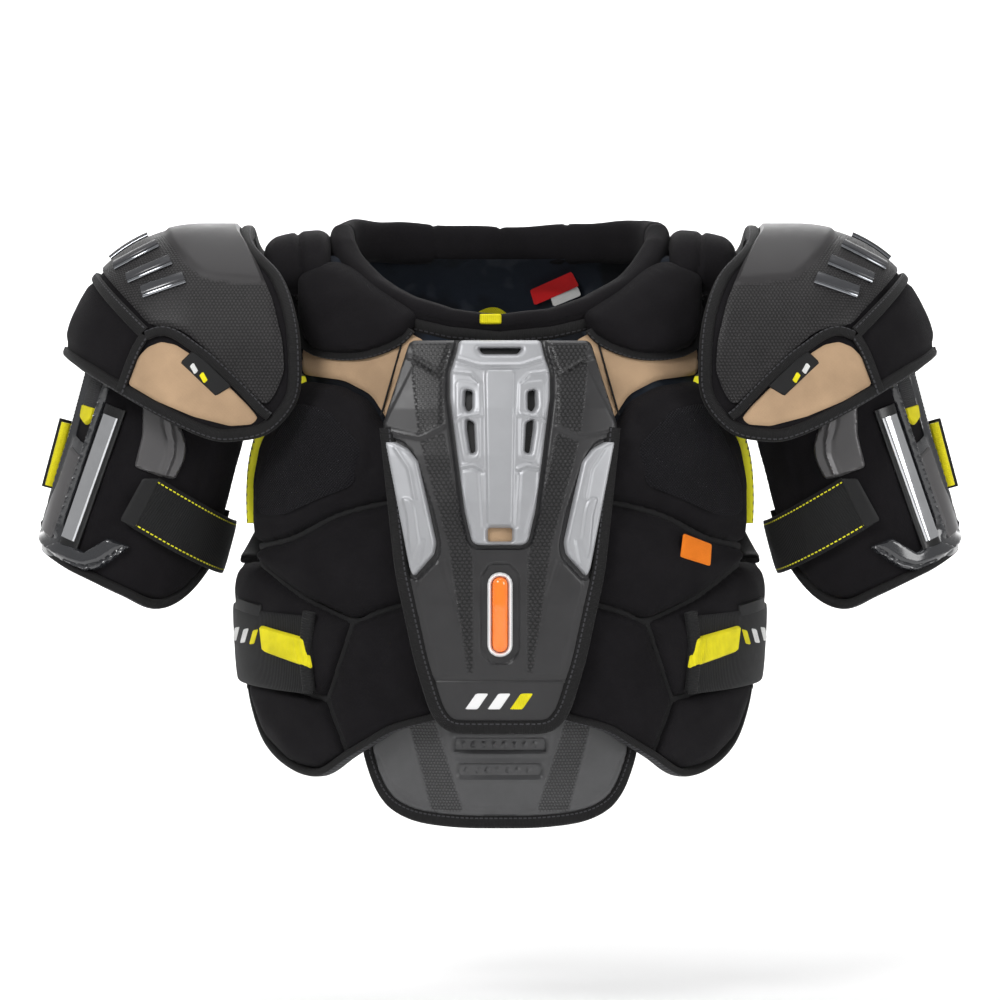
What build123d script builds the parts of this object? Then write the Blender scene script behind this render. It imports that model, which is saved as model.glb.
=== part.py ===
"""Ice hockey shoulder pads, in millimetres.

The frame: +Z up, the front faces -Y, and the wearer's left is +X. The origin is the middle of the
neck opening, level with the collar's low point at the throat. Every layer of the vest follows one
smooth body form, and "grow" says how far a surface lies outside that form. Pieces are drawn as
outlines in the front view (x, z) and cut from the layer that they lie in. The pieces at +X are
modelled, and those at -X are their mirror images.
"""

import os
from math import cos, degrees, radians, sin

from build123d import *

os.makedirs("parts", exist_ok=True)

# Driving dimensions of the body form
CHEST_HALF_WIDTH = 171.0
CHEST_DEPTH = 118.0  # centre to breastbone, inside the pads
BACK_DEPTH = 104.0  # centre to spine, inside the pads
REACH = 260.0  # longer than any piece is deep

# Layers
BASE_THICKNESS = 2.5
FOAM_THICKNESS = 12.0
YOKE_THICKNESS = 2.2
CLAVICLE_THICKNESS = 9.0
SHOULDER_FOAM = 10.5
SHOULDER_SEAM = 42.0  # height where the shoulder pad meets the clavicle pad
SPINE_PLATE_THICKNESS = 5.0
LAYER_GAP = 0.3
SEAM_GAP = 1.6
BODY_CLEARANCE = 1.0  # between layers that move apart

# Sternum guard
STERNUM_TOP_HALF_WIDTH = 60.0
STERNUM_HALF_WIDTH = 76.0
STERNUM_TOP = -10.0
STERNUM_WIDEST = -70.0
STERNUM_BOTTOM = -278.0
STERNUM_FOAM = 4.0
STERNUM_PLATE = 4.5
STERNUM_UNDERLAP = 18.0  # how far the chest pads reach in behind it
BINDING_WIDTH = 9.0
BINDING_PROUD = 1.4
INSERT_THICKNESS = 4.2
WING_THICKNESS = 3.0

# Belly guard
BELLY_HALF_WIDTH = 104.0
BELLY_TOP = -236.0
BELLY_BOTTOM = -346.0
BELLY_FOAM = 7.0
BELLY_PLATE = 3.0
BELLY_CLEARANCE = 1.4

# Collar
NECK_HALF_WIDTH = 104.0
NECK_HALF_DEPTH = 70.0
COLLAR_WALL = 17.0
COLLAR_FRONT_LOW = -9.0
COLLAR_BACK_LOW = 47.0
COLLAR_BACK_HIGH = 75.0

# Shoulder caps
CAP_RADIUS = 100.0
CAP_OUT = 39.0  # cap centre, outside the body form's side
CAP_LEVEL = -28.0
CAP_FORWARD = 3.0
CAP_FOAM = 7.0
CAP_SHELL = 2.7
CAP_BINDING_WIDTH = 8.0
VENT_THICKNESS = 1.4

# Bicep guards
GUARD_TILT = 15.0
GUARD_TOP_OUT = 12.0  # sleeve's top centre, outside the cap's centre
GUARD_TOP_UP = 20.0
GUARD_LENGTH = 188.0
HEM_OUT = 169.0  # the sleeve's hem slopes: its depth on the outer side
HEM_LOW = 185.0  # and at its lowest
GUARD_RADIUS = 61.0  # outside of the padded sleeve
GUARD_FOAM = 10.0
GUARD_SHELL = 3.2
GUARD_BAR = 3.0
GUARD_SHELL_LENGTH = 160.0
BAR_TOP = 56.0
BAR_BOTTOM = 154.0
HANGER_ANGLE = 33.0
HANGER_WIDTH = 17.0
HANGER_THICKNESS = 2.0
HANGER_ABOVE = 13.0
HANGER_BELOW = 78.0
ARM_STRAP_WIDTH = 40.0
ARM_STRAP_TOP = 98.0  # depth of its top edge at the front end
ARM_STRAP_DROP = 17.0  # how much lower its inner end is
ARM_STRAP_THICKNESS = 2.4

# Rib straps
RIB_STRAP_THICKNESS = 2.2
RIB_STRAP_TOP = -195.0
RIB_STRAP_BOTTOM = -254.0
RIB_STRAP_END = 122.0
RIB_STRAP_BEHIND = 12.0
PULL_TAB_HEIGHT = 20.0
PULL_TAB_LENGTH = 33.0
PULL_TAB_RISE = 9.0  # how much higher its outer end sits
PULL_TAB_THICKNESS = 2.6

# Places that follow from the dimensions above
FOAM_START = BASE_THICKNESS + LAYER_GAP
FOAM_END = FOAM_START + FOAM_THICKNESS
SIDE = CHEST_HALF_WIDTH + FOAM_END  # outermost half width of the vest
STERNUM_START = FOAM_END + BODY_CLEARANCE
STERNUM_PLATE_START = STERNUM_START + STERNUM_FOAM + LAYER_GAP
STERNUM_PLATE_END = STERNUM_PLATE_START + STERNUM_PLATE
INSERT_START = STERNUM_PLATE_END + LAYER_GAP
CAP_X = CHEST_HALF_WIDTH + CAP_OUT
CAP_Z = CAP_LEVEL
GUARD_TOP = (CAP_X + GUARD_TOP_OUT, -CAP_FORWARD, CAP_Z + GUARD_TOP_UP)
GUARD_PLANE = Plane(
    origin=GUARD_TOP,
    x_dir=(cos(radians(GUARD_TILT)), 0, sin(radians(GUARD_TILT))),
    z_dir=(-sin(radians(GUARD_TILT)), 0, cos(radians(GUARD_TILT))),
)
INNER_EDGE = STERNUM_HALF_WIDTH - STERNUM_UNDERLAP

# The body form's sections: height, shares of the full half width, front depth and back depth, and
# how much of a layer's growth goes upwards there, because the shoulders close over like a dome.
FORM_SECTIONS = [
    (-352, 0.925, 0.86, 0.90, 0.0),
    (-310, 0.95, 0.91, 0.92, 0.0),
    (-270, 0.972, 0.95, 0.935, 0.0),
    (-230, 0.988, 0.98, 0.95, 0.0),
    (-190, 1.0, 1.0, 0.965, 0.0),
    (-150, 1.0, 1.0, 0.985, 0.0),
    (-120, 1.0, 0.98, 1.0, 0.0),
    (-90, 0.999, 0.94, 1.0, 0.03),
    (-60, 0.995, 0.88, 1.0, 0.1),
    (-35, 0.988, 0.80, 0.99, 0.2),
    (-10, 0.977, 0.70, 0.96, 0.38),
    (12, 0.962, 0.60, 0.92, 0.55),
    (30, 0.938, 0.49, 0.85, 0.72),
    (44, 0.90, 0.37, 0.74, 0.87),
    (56, 0.84, 0.22, 0.60, 1.0),
]


def body_form(grow, front):
    """The front or back half of the body form, grown by grow."""
    with BuildPart() as form:
        for height, width, front_depth, back_depth, rise in FORM_SECTIONS:
            half_width = CHEST_HALF_WIDTH * width + grow
            depth = CHEST_DEPTH * front_depth if front else BACK_DEPTH * back_depth
            start = 180 if front else 0
            with BuildSketch(Plane.XY.offset(height + rise * grow)):
                with BuildLine():
                    arc = EllipticalCenterArc(
                        (0, 0), half_width, depth + grow, start_angle=start, arc_size=180
                    )
                    Line(arc @ 1, arc @ 0)
                make_face()
        loft(ruled=True)
    return form.part


def neck_hole(height):
    """What the collar and its clearance take out of the layers around the neck, from height up."""
    with BuildPart() as hole:
        with BuildSketch(Plane.XY.offset(height)):
            Ellipse(
                NECK_HALF_WIDTH + COLLAR_WALL + LAYER_GAP, NECK_HALF_DEPTH + COLLAR_WALL + LAYER_GAP
            )
        extrude(amount=REACH)
    return hole.part


FRONT_NECK_HOLE = neck_hole(COLLAR_FRONT_LOW - 5)
BACK_NECK_HOLE = neck_hole(COLLAR_BACK_LOW - LAYER_GAP)


def layer(inner, outer, front=True):
    """The front or back half of the layer between two growths of the body form."""
    with BuildPart() as shell:
        add(body_form(outer, front))
        add(body_form(inner, front), mode=Mode.SUBTRACT)
        add(FRONT_NECK_HOLE if front else BACK_NECK_HOLE, mode=Mode.SUBTRACT)
    return shell.part


def soften(radius):
    """Rounds the corners of the sketch being made, as far as its shortest edge allows."""
    shortest = min(edge.length for edge in edges())
    fillet(vertices(), radius=min(radius, 0.4 * shortest))


def front_piece(outline, shell, inset=0.0, corner=4.0, front=True):
    """A piece with this outline in the front view, inset all round, cut from a layer."""
    with BuildPart() as piece:
        with BuildSketch(Plane.XZ):
            with BuildLine():
                Polyline(*outline, close=True)
            make_face()
            if inset:
                offset(amount=-inset, kind=Kind.INTERSECTION)
            soften(corner)
        extrude(amount=REACH if front else -REACH)
        add(shell, mode=Mode.INTERSECT)
    return piece


def edge_binding(outline, shell, width, corner=4.0):
    """The binding tape round the edge of an outline, width wide, cut from a layer."""
    with BuildPart() as ring:
        with BuildSketch(Plane.XZ) as outer:
            with BuildLine():
                Polyline(*outline, close=True)
            make_face()
            soften(corner)
        extrude(outer.sketch, amount=REACH)
        with BuildSketch(Plane.XZ) as inner:
            with BuildLine():
                Polyline(*outline, close=True)
            make_face()
            offset(amount=-width, kind=Kind.INTERSECTION)
            soften(corner)
        extrude(inner.sketch, amount=REACH, mode=Mode.SUBTRACT)
        add(shell, mode=Mode.INTERSECT)
    return ring


def both_sides(half):
    """A symmetric outline from its half at +X, listed from the top down."""
    return half + [(-x, z) for x, z in reversed(half)]


def other_side(piece):
    """The mirror image of a piece, for the wearer's other side."""
    with BuildPart() as copy:
        mirror(piece.part, about=Plane.YZ)
    return copy


def across(share, edge=None):
    """A half width that lies this share of the way from the sternum guard's edge to the side."""
    start = STERNUM_HALF_WIDTH if edge is None else edge
    return start + share * (SIDE - start)


# ---------------------------------------------------------------- vest front
base_layer = layer(0, BASE_THICKNESS)
foam_layer = layer(FOAM_START, FOAM_END)

# Seams between the chest pads, from the sternum guard out to the side
upper_seam = [
    (INNER_EDGE, -118),
    (across(0.02), -122),
    (across(0.35), -132),
    (across(0.6), -147),
    (SIDE - 18, -154),
]
lower_seam = [
    (INNER_EDGE - 6, -186),
    (INNER_EDGE + 8, -191),
    (across(0.22), -203),
    (across(0.54), -188),
    (SIDE - 19, -166),
]
hip_seam = [(SIDE - 13, -245), (across(0.38), -258), (across(0.26), -296)]

upper_chest_outline = [
    (INNER_EDGE + 5, -82),
    (across(0.05), -70),
    (across(0.15), -52),
    (across(0.33), -42),
    (SIDE - 46, -38),
    (SIDE - 36, -50),
    (SIDE - 19, -80),
    (SIDE - 11, -108),
    (SIDE - 10, -138),
    *reversed(upper_seam),
]
mid_chest_outline = [*upper_seam, *reversed(lower_seam)]
lower_chest_outline = [
    *lower_seam[:3],
    *hip_seam[1:],
    (INNER_EDGE + 13, -276),
    (INNER_EDGE - 16, -267),
    (INNER_EDGE - 14, -240),
]
rib_outline = [
    *lower_seam[2:],
    (SIDE - 6, -165),
    (SIDE - 0.5, -180),
    (SIDE - 1, -195),
    (SIDE - 9, -235),
    *hip_seam[:2],
]
hip_outline = [
    *reversed(hip_seam),
    (SIDE - 15, -265),
    (SIDE - 25, -290),
    (SIDE - 42, -305),
    (across(0.44), -309),
]
left_upper_chest_pad = front_piece(upper_chest_outline, foam_layer, SEAM_GAP / 2)
left_mid_chest_pad = front_piece(mid_chest_outline, foam_layer, SEAM_GAP / 2)
left_lower_chest_pad = front_piece(lower_chest_outline, foam_layer, SEAM_GAP / 2)
left_rib_pad = front_piece(rib_outline, foam_layer, SEAM_GAP / 2)
left_hip_pad = front_piece(hip_outline, foam_layer, SEAM_GAP / 2)

# The base cloth behind the front pads, from the shoulders to the hem
base_half = [
    (NECK_HALF_WIDTH, 52),
    (SIDE - 40, 50),
    (SIDE - 36, -30),
    (SIDE - 40, -52),
    (SIDE - 23, -82),
    (SIDE - 14, -110),
    (SIDE - 13, -150),
    (SIDE - 8, -172),
    (SIDE - 12, -235),
    (SIDE - 20, -266),
    (SIDE - 44, -298),
    (across(0.44), -302),
    (across(0.27), -290),
    (INNER_EDGE + 12, -271),
    (INNER_EDGE - 18, -262),
]
chest_base = front_piece(both_sides(base_half), base_layer, corner=6)

# Tan stretch panels between the collar and the chest pads
yoke_layer = layer(FOAM_START, FOAM_START + YOKE_THICKNESS)
yoke_outline = [
    (STERNUM_TOP_HALF_WIDTH - 8, -12),
    (across(0.2), 12),
    (SIDE - 46, 10),
    (SIDE - 44, -34),
    (across(0.32), -38),
    (across(0.14), -48),
    (across(0.03), -66),
    (INNER_EDGE + 3, -78),
]
left_yoke_panel = front_piece(yoke_outline, yoke_layer, LAYER_GAP)

# Clavicle pads, over the yoke panels and round the outside of the collar
clavicle_start = FOAM_START + YOKE_THICKNESS + LAYER_GAP
clavicle_layer = layer(clavicle_start, clavicle_start + CLAVICLE_THICKNESS)
clavicle_outline = [
    (STERNUM_TOP_HALF_WIDTH + 2, 6),
    (STERNUM_TOP_HALF_WIDTH + 5, -5),
    (across(0.04), -15),
    (across(0.22), -21),
    (SIDE - 54, -16),
    (SIDE - 48, -3),
    (SIDE - 47, 34),
    (NECK_HALF_WIDTH + COLLAR_WALL + 4, SHOULDER_SEAM - SEAM_GAP),
    (NECK_HALF_WIDTH + COLLAR_WALL - 2, SHOULDER_SEAM - 3),
    (NECK_HALF_WIDTH + 3, 33),
    (NECK_HALF_WIDTH - 15, 21),
]
left_clavicle_pad = front_piece(clavicle_outline, clavicle_layer, LAYER_GAP)

# Shoulder pads, over the top of the shoulder between the front and the back
with BuildPart() as left_shoulder_pad:
    with BuildSketch(Plane.XY):
        with Locations((NECK_HALF_WIDTH + COLLAR_WALL + 3, 0)):
            Rectangle(SIDE - 22 - NECK_HALF_WIDTH - COLLAR_WALL, 88, align=(Align.MIN, Align.CENTER))
        fillet(vertices(), radius=6)
    extrude(amount=REACH)
    with BuildPart(mode=Mode.PRIVATE) as both_halves:
        add(layer(FOAM_START, FOAM_START + SHOULDER_FOAM))
        add(layer(FOAM_START, FOAM_START + SHOULDER_FOAM, front=False))
    add(both_halves.part, mode=Mode.INTERSECT)
    with BuildSketch(Plane.XZ):
        with Locations((SIDE, SHOULDER_SEAM)):
            Rectangle(REACH, REACH, align=(Align.CENTER, Align.MAX))
    extrude(amount=REACH, mode=Mode.SUBTRACT)

# ---------------------------------------------------------------- collar
collar_low = [(0, COLLAR_FRONT_LOW), (33, -5), (60, 2), (86, 17), (104, 31), (118, 51), (123, 64)]
collar_high = [(104, 72), (101, 60), (92, 43), (73, 29), (60, 20), (33, 11), (0, 7)]
with BuildPart() as collar_roll:
    with BuildSketch(Plane.XY.offset(-20)):
        Ellipse(NECK_HALF_WIDTH + COLLAR_WALL, NECK_HALF_DEPTH + COLLAR_WALL)
        Ellipse(NECK_HALF_WIDTH, NECK_HALF_DEPTH, mode=Mode.SUBTRACT)
    extrude(amount=REACH)
    with BuildPart(mode=Mode.PRIVATE) as collar_heights:
        with BuildSketch(Plane.XZ):
            with BuildLine():
                Spline(*collar_low)
                Line(collar_low[-1], (collar_low[-1][0], COLLAR_BACK_HIGH))
                Line((collar_low[-1][0], COLLAR_BACK_HIGH), collar_high[0])
                Spline(*collar_high)
                Line(collar_high[-1], collar_low[0])
            make_face()
            mirror(about=Plane.YZ)
        extrude(amount=REACH)
        with BuildSketch(Plane.XZ):
            with Locations((0, COLLAR_BACK_LOW)):
                Rectangle(
                    2 * REACH, COLLAR_BACK_HIGH - COLLAR_BACK_LOW, align=(Align.CENTER, Align.MIN)
                )
        extrude(amount=-REACH)
    add(collar_heights.part, mode=Mode.INTERSECT)

# The woven loop at the throat, sewn over the collar's front
with BuildPart() as collar_loop:
    with BuildSketch(Plane.XY.offset(-6)):
        with Locations((0, -NECK_HALF_DEPTH - COLLAR_WALL - LAYER_GAP)):
            Rectangle(15, 1.2, align=(Align.CENTER, Align.MAX))
    extrude(amount=12)

# The size label, sewn inside the back of the neck
with BuildPart() as size_label:
    with BuildSketch(Plane.XY.offset(12)):
        with Locations((38, 0)):
            Rectangle(44, REACH, align=(Align.CENTER, Align.MIN))
    extrude(amount=32)
    add(layer(-1.5, -LAYER_GAP, front=False), mode=Mode.INTERSECT)

# ---------------------------------------------------------------- vest back
back_base_layer = layer(0, BASE_THICKNESS, front=False)
back_foam_layer = layer(FOAM_START, FOAM_END, front=False)
SPINE_HALF_WIDTH = 36.0
back_seam = [(SPINE_HALF_WIDTH, -164), (across(0.2), -160), (across(0.6), -150), (SIDE - 19, -139)]
blade_outline = [
    (SPINE_HALF_WIDTH, 42),
    (SIDE - 70, 42),
    (SIDE - 50, 32),
    (SIDE - 40, 0),
    (SIDE - 48, -40),
    (SIDE - 38, -92),
    *reversed(back_seam),
]
lumbar_outline = [
    *back_seam,
    (SIDE - 5, -168),
    (SIDE - 2, -200),
    (SIDE - 11, -260),
    (SIDE - 34, -282),
    (across(0.1), -289),
    (SPINE_HALF_WIDTH, -291),
]
back_base_half = [
    (NECK_HALF_WIDTH, 52),
    (SIDE - 44, 50),
    (SIDE - 42, 0),
    (SIDE - 51, -40),
    (SIDE - 41, -92),
    (SIDE - 22, -141),
    (SIDE - 8, -168),
    (SIDE - 6, -200),
    (SIDE - 14, -258),
    (SIDE - 36, -279),
    (SPINE_HALF_WIDTH, -288),
]
back_base = front_piece(both_sides(back_base_half), back_base_layer, corner=6, front=False)
left_blade_pad = front_piece(blade_outline, back_foam_layer, SEAM_GAP / 2, front=False)
left_lumbar_pad = front_piece(lumbar_outline, back_foam_layer, SEAM_GAP / 2, front=False)
spine_outline = both_sides(
    [
        (SPINE_HALF_WIDTH, 44),
        (SPINE_HALF_WIDTH, -180),
        (SPINE_HALF_WIDTH - 8, -240),
        (SPINE_HALF_WIDTH - 14, -291),
    ]
)
spine_pad = front_piece(spine_outline, back_foam_layer, SEAM_GAP / 2, front=False)
spine_plate_layer = layer(
    FOAM_END + LAYER_GAP, FOAM_END + LAYER_GAP + SPINE_PLATE_THICKNESS, front=False
)
spine_plate = front_piece(spine_outline, spine_plate_layer, BINDING_WIDTH, front=False)

# ---------------------------------------------------------------- sternum guard
sternum_half = [
    (STERNUM_TOP_HALF_WIDTH, STERNUM_TOP),
    (STERNUM_HALF_WIDTH, STERNUM_WIDEST),
    (STERNUM_HALF_WIDTH - 10, -168),
    (STERNUM_HALF_WIDTH - 22, -228),
    (STERNUM_HALF_WIDTH - 32, -264),
    (STERNUM_HALF_WIDTH - 42, STERNUM_BOTTOM),
]
sternum_outline = both_sides(sternum_half)
sternum_foam = front_piece(
    sternum_outline,
    layer(STERNUM_START, STERNUM_START + STERNUM_FOAM),
    BINDING_WIDTH + LAYER_GAP,
)
sternum_plate = front_piece(
    sternum_outline, layer(STERNUM_PLATE_START, STERNUM_PLATE_END), BINDING_WIDTH + LAYER_GAP
)
sternum_binding = edge_binding(
    sternum_outline, layer(STERNUM_START, STERNUM_PLATE_END + BINDING_PROUD), BINDING_WIDTH
)
insert_layer = layer(INSERT_START, INSERT_START + INSERT_THICKNESS)
insert_half = [(25, STERNUM_TOP - 10), (30, -42), (23, -112), (15.5, -147)]
vent_slots = [(0, -18.5, 26, 5), (18, -54, 5, 14), (17, -76, 5, 22), (0, -138, 15, 10)]
with BuildPart() as sternum_vent_insert:
    with BuildSketch(Plane.XZ):
        with BuildLine():
            Polyline(*both_sides(insert_half), close=True)
        make_face()
        soften(3)
        for x, z, width, height in vent_slots:
            with Locations((x, z), (-x, z)) if x else Locations((0, z)):
                Rectangle(width, height, mode=Mode.SUBTRACT)
    extrude(amount=REACH)
    add(insert_layer, mode=Mode.INTERSECT)
wing_outline = [
    (STERNUM_HALF_WIDTH - 21, -88),
    (STERNUM_HALF_WIDTH - 11.5, -80),
    (STERNUM_HALF_WIDTH - 20, -168),
    (STERNUM_HALF_WIDTH - 36, -152),
    (STERNUM_HALF_WIDTH - 25, -98),
]
left_wing = front_piece(wing_outline, layer(INSERT_START, INSERT_START + WING_THICKNESS), corner=2)
with BuildPart() as sternum_wing_inserts:
    add(left_wing.part)
    mirror(left_wing.part, about=Plane.YZ)
CAPSULE_MIDDLE = -196.0
CAPSULE_LENGTH = 58.0
CAPSULE_WIDTH = 15.0
CAPSULE_CORE_LENGTH = 52.0
CAPSULE_CORE_WIDTH = 8.5
with BuildPart() as capsule_bezel:
    with BuildSketch(Plane.XZ):
        with Locations((0, CAPSULE_MIDDLE)):
            SlotOverall(CAPSULE_LENGTH, CAPSULE_WIDTH, rotation=90)
            SlotOverall(
                CAPSULE_CORE_LENGTH + 2 * LAYER_GAP,
                CAPSULE_CORE_WIDTH + 2 * LAYER_GAP,
                rotation=90,
                mode=Mode.SUBTRACT,
            )
    extrude(amount=REACH)
    add(layer(INSERT_START, INSERT_START + WING_THICKNESS), mode=Mode.INTERSECT)
with BuildPart() as impact_capsule:
    with BuildSketch(Plane.XZ):
        with Locations((0, CAPSULE_MIDDLE)):
            SlotOverall(CAPSULE_CORE_LENGTH, CAPSULE_CORE_WIDTH, rotation=90)
    extrude(amount=REACH)
    add(insert_layer, mode=Mode.INTERSECT)

# ---------------------------------------------------------------- belly guard
belly_half = [
    (BELLY_HALF_WIDTH - 22, BELLY_TOP),
    (BELLY_HALF_WIDTH, BELLY_TOP - 52),
    (BELLY_HALF_WIDTH - 4, BELLY_BOTTOM + 42),
    (BELLY_HALF_WIDTH - 16, BELLY_BOTTOM + 16),
    (BELLY_HALF_WIDTH - 30, BELLY_BOTTOM + 5),
    (BELLY_HALF_WIDTH - 60, BELLY_BOTTOM),
]
belly_outline = both_sides(belly_half)
belly_outer = -BELLY_CLEARANCE
belly_foam = front_piece(
    belly_outline,
    layer(
        belly_outer - BELLY_PLATE - LAYER_GAP - BELLY_FOAM, belly_outer - BELLY_PLATE - LAYER_GAP
    ),
    BINDING_WIDTH + LAYER_GAP,
)
belly_plate = front_piece(
    belly_outline, layer(belly_outer - BELLY_PLATE, belly_outer), BINDING_WIDTH + LAYER_GAP
)
belly_binding = edge_binding(
    belly_outline,
    layer(belly_outer - BELLY_PLATE - BELLY_FOAM - BINDING_PROUD, belly_outer),
    BINDING_WIDTH,
)


# ---------------------------------------------------------------- shoulder caps
def cap_form(radius):
    """A dome over the shoulder: round at the outer end, straight legs down, open inwards."""
    with BuildPart() as form:
        with Locations((CAP_X, -CAP_FORWARD, CAP_Z)):
            Sphere(radius)
            Cylinder(radius, REACH / 2, align=(Align.CENTER, Align.CENTER, Align.MAX))
            Cylinder(
                radius,
                REACH / 2,
                rotation=(0, -90, 0),
                align=(Align.CENTER, Align.CENTER, Align.MIN),
            )
            Box(REACH / 2, 2 * radius, REACH / 2, align=(Align.MAX, Align.CENTER, Align.MAX))
    return form.part


def cap_layer(inner, outer):
    """The wall of the cap between two radii."""
    with BuildPart() as shell:
        add(cap_form(outer))
        add(cap_form(inner), mode=Mode.SUBTRACT)
    return shell.part


def cap_piece(outline, shell, inset=0.0, corner=4.0, both=True, hole=None):
    """A piece of the cap with this outline in the front view, front and back alike or front only."""
    with BuildPart() as piece:
        with BuildSketch(Plane.XZ):
            with BuildLine():
                Polyline(*outline, close=True)
            make_face()
            if inset:
                offset(amount=-inset, kind=Kind.INTERSECTION)
            soften(corner)
        extrude(amount=REACH, both=both)
        if hole:
            with BuildSketch(Plane.XZ):
                with BuildLine():
                    Polyline(*outline, close=True)
                make_face()
                offset(amount=-hole, kind=Kind.INTERSECTION)
                soften(corner)
            extrude(amount=REACH, both=both, mode=Mode.SUBTRACT)
        add(shell, mode=Mode.INTERSECT)
    return piece


cap_foam_outer = CAP_RADIUS - CAP_SHELL - LAYER_GAP
cap_foam_inner = cap_foam_outer - CAP_FOAM
CAP_TOP = CAP_Z + CAP_RADIUS
cap_outline = [
    (CAP_X - 38, CAP_TOP + 20),
    (CAP_X - 38, CAP_TOP - 12),
    (CAP_X - 60, CAP_TOP - 38),
    (CAP_X - 71, CAP_TOP - 68),
    (CAP_X - 74, CAP_TOP - 100),
    (CAP_X - 71, CAP_TOP - 125),
    (CAP_X - 53, CAP_TOP - 146),
    (CAP_X - 30, CAP_TOP - 152),
    (CAP_X - 8, CAP_TOP - 150),
    (CAP_X + 30, CAP_TOP - 132),
    (CAP_X + CAP_RADIUS + 6, CAP_TOP - 88),
    (CAP_X + CAP_RADIUS + 6, CAP_TOP + 20),
]
left_cap_foam = cap_piece(
    cap_outline, cap_layer(cap_foam_inner, cap_foam_outer), CAP_BINDING_WIDTH + LAYER_GAP
)
left_cap_binding = cap_piece(
    cap_outline, cap_layer(cap_foam_inner - 1, CAP_RADIUS), hole=CAP_BINDING_WIDTH
)
shell_outline = [
    (CAP_X - 28, CAP_TOP + 20),
    (CAP_X - 28, CAP_TOP - 12),
    (CAP_X - 36, CAP_TOP - 26),
    (CAP_X - 50, CAP_TOP - 43),
    (CAP_X - 60, CAP_TOP - 76),
    (CAP_X - 60, CAP_TOP - 112),
    (CAP_X - 52, CAP_TOP - 131),
    (CAP_X - 12, CAP_TOP - 86),
    (CAP_X + 28, CAP_TOP - 75),
    (CAP_X + 78, CAP_TOP - 16),
    (CAP_X + 60, CAP_TOP + 20),
]
left_cap_shell = cap_piece(shell_outline, cap_layer(cap_foam_outer + LAYER_GAP, CAP_RADIUS))
vent_outline = [
    (CAP_X - 43, CAP_TOP - 136),
    (CAP_X + 4, CAP_TOP - 89),
    (CAP_X + 18, CAP_TOP - 84),
    (CAP_X + 33, CAP_TOP - 94),
    (CAP_X + 42, CAP_TOP - 110),
    (CAP_X + 12, CAP_TOP - 127),
    (CAP_X - 20, CAP_TOP - 140),
]
vent_start = cap_foam_outer + LAYER_GAP
left_cap_vent = cap_piece(
    vent_outline, cap_layer(vent_start, vent_start + VENT_THICKNESS), both=False, corner=3
)

# ---------------------------------------------------------------- bicep guards


def arc_wall(inner, outer, start, end, low, high):
    """Part of a tube round the sleeve's axis, from one angle to another and one depth to another.
    Angle 0 points out from the body and 90 to the front. Depths go down from the sleeve's top."""
    with BuildPart() as wall:
        with BuildSketch(GUARD_PLANE.offset(-low)):
            with BuildLine():
                outer_arc = CenterArc((0, 0), outer, -start, start - end)
                inner_arc = CenterArc((0, 0), inner, -start, start - end)
                Line(outer_arc @ 0, inner_arc @ 0)
                Line(outer_arc @ 1, inner_arc @ 1)
            make_face()
        extrude(amount=low - high)
    return wall.part


GUARD_SHELL_START = GUARD_RADIUS + LAYER_GAP
GUARD_SHELL_END = GUARD_SHELL_START + GUARD_SHELL
SLEEVE_SIDE = Plane(GUARD_PLANE.origin, x_dir=GUARD_PLANE.x_dir, z_dir=(0, -1, 0))
with BuildPart() as left_guard_pad:
    add(arc_wall(GUARD_RADIUS - GUARD_FOAM, GUARD_RADIUS, -130, 170, 0, GUARD_LENGTH))
    with BuildPart(mode=Mode.PRIVATE) as hem_cut:
        with BuildSketch(SLEEVE_SIDE):
            with BuildLine():
                Polyline(
                    (REACH, -HEM_OUT),
                    (GUARD_RADIUS, -HEM_OUT),
                    (-GUARD_RADIUS / 2, -HEM_LOW),
                    (-GUARD_RADIUS + 15, -HEM_LOW + 10),
                    (-GUARD_RADIUS + 4, -HEM_LOW + 31),
                    (-GUARD_RADIUS - 3, -HEM_LOW + 60),
                    (-REACH, -HEM_LOW + 60),
                    (-REACH, -REACH),
                    (REACH, -REACH),
                    close=True,
                )
            make_face()
        extrude(amount=REACH, both=True)
    add(hem_cut.part, mode=Mode.SUBTRACT)

SHELL_BACK, SHELL_FRONT = -66, 122
WINDOW_BACK, WINDOW_FRONT = 70, 98
with BuildPart() as left_guard_shell:
    add(
        arc_wall(
            GUARD_SHELL_START, GUARD_SHELL_END, SHELL_BACK, SHELL_FRONT, 4, GUARD_SHELL_LENGTH
        )
    )
    add(
        arc_wall(GUARD_RADIUS, GUARD_SHELL_END + 1, WINDOW_BACK, WINDOW_FRONT, 0, 134),
        mode=Mode.SUBTRACT,
    )
    for side in (1, -1):
        slot_half = 11
        add(
            arc_wall(
                GUARD_RADIUS,
                GUARD_SHELL_END + 1,
                side * HANGER_ANGLE - slot_half,
                side * HANGER_ANGLE + slot_half,
                0,
                HANGER_BELOW + 30,
            ),
            mode=Mode.SUBTRACT,
        )
BAR_START = GUARD_SHELL_END + LAYER_GAP
with BuildPart() as left_guard_bar:
    add(arc_wall(BAR_START, BAR_START + GUARD_BAR, 52, 64, BAR_TOP, BAR_BOTTOM))
with BuildPart() as left_hanger_straps:
    for side in (1, -1):
        half_angle = degrees(HANGER_WIDTH / 2 / GUARD_RADIUS)
        add(
            arc_wall(
                GUARD_SHELL_START + LAYER_GAP,
                GUARD_SHELL_START + LAYER_GAP + HANGER_THICKNESS,
                side * HANGER_ANGLE - half_angle,
                side * HANGER_ANGLE + half_angle,
                -HANGER_ABOVE,
                HANGER_BELOW,
            )
        )
ARM_STRAP_START = GUARD_SHELL_END + 2 * LAYER_GAP
strap_end = ARM_STRAP_TOP + ARM_STRAP_DROP
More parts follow.
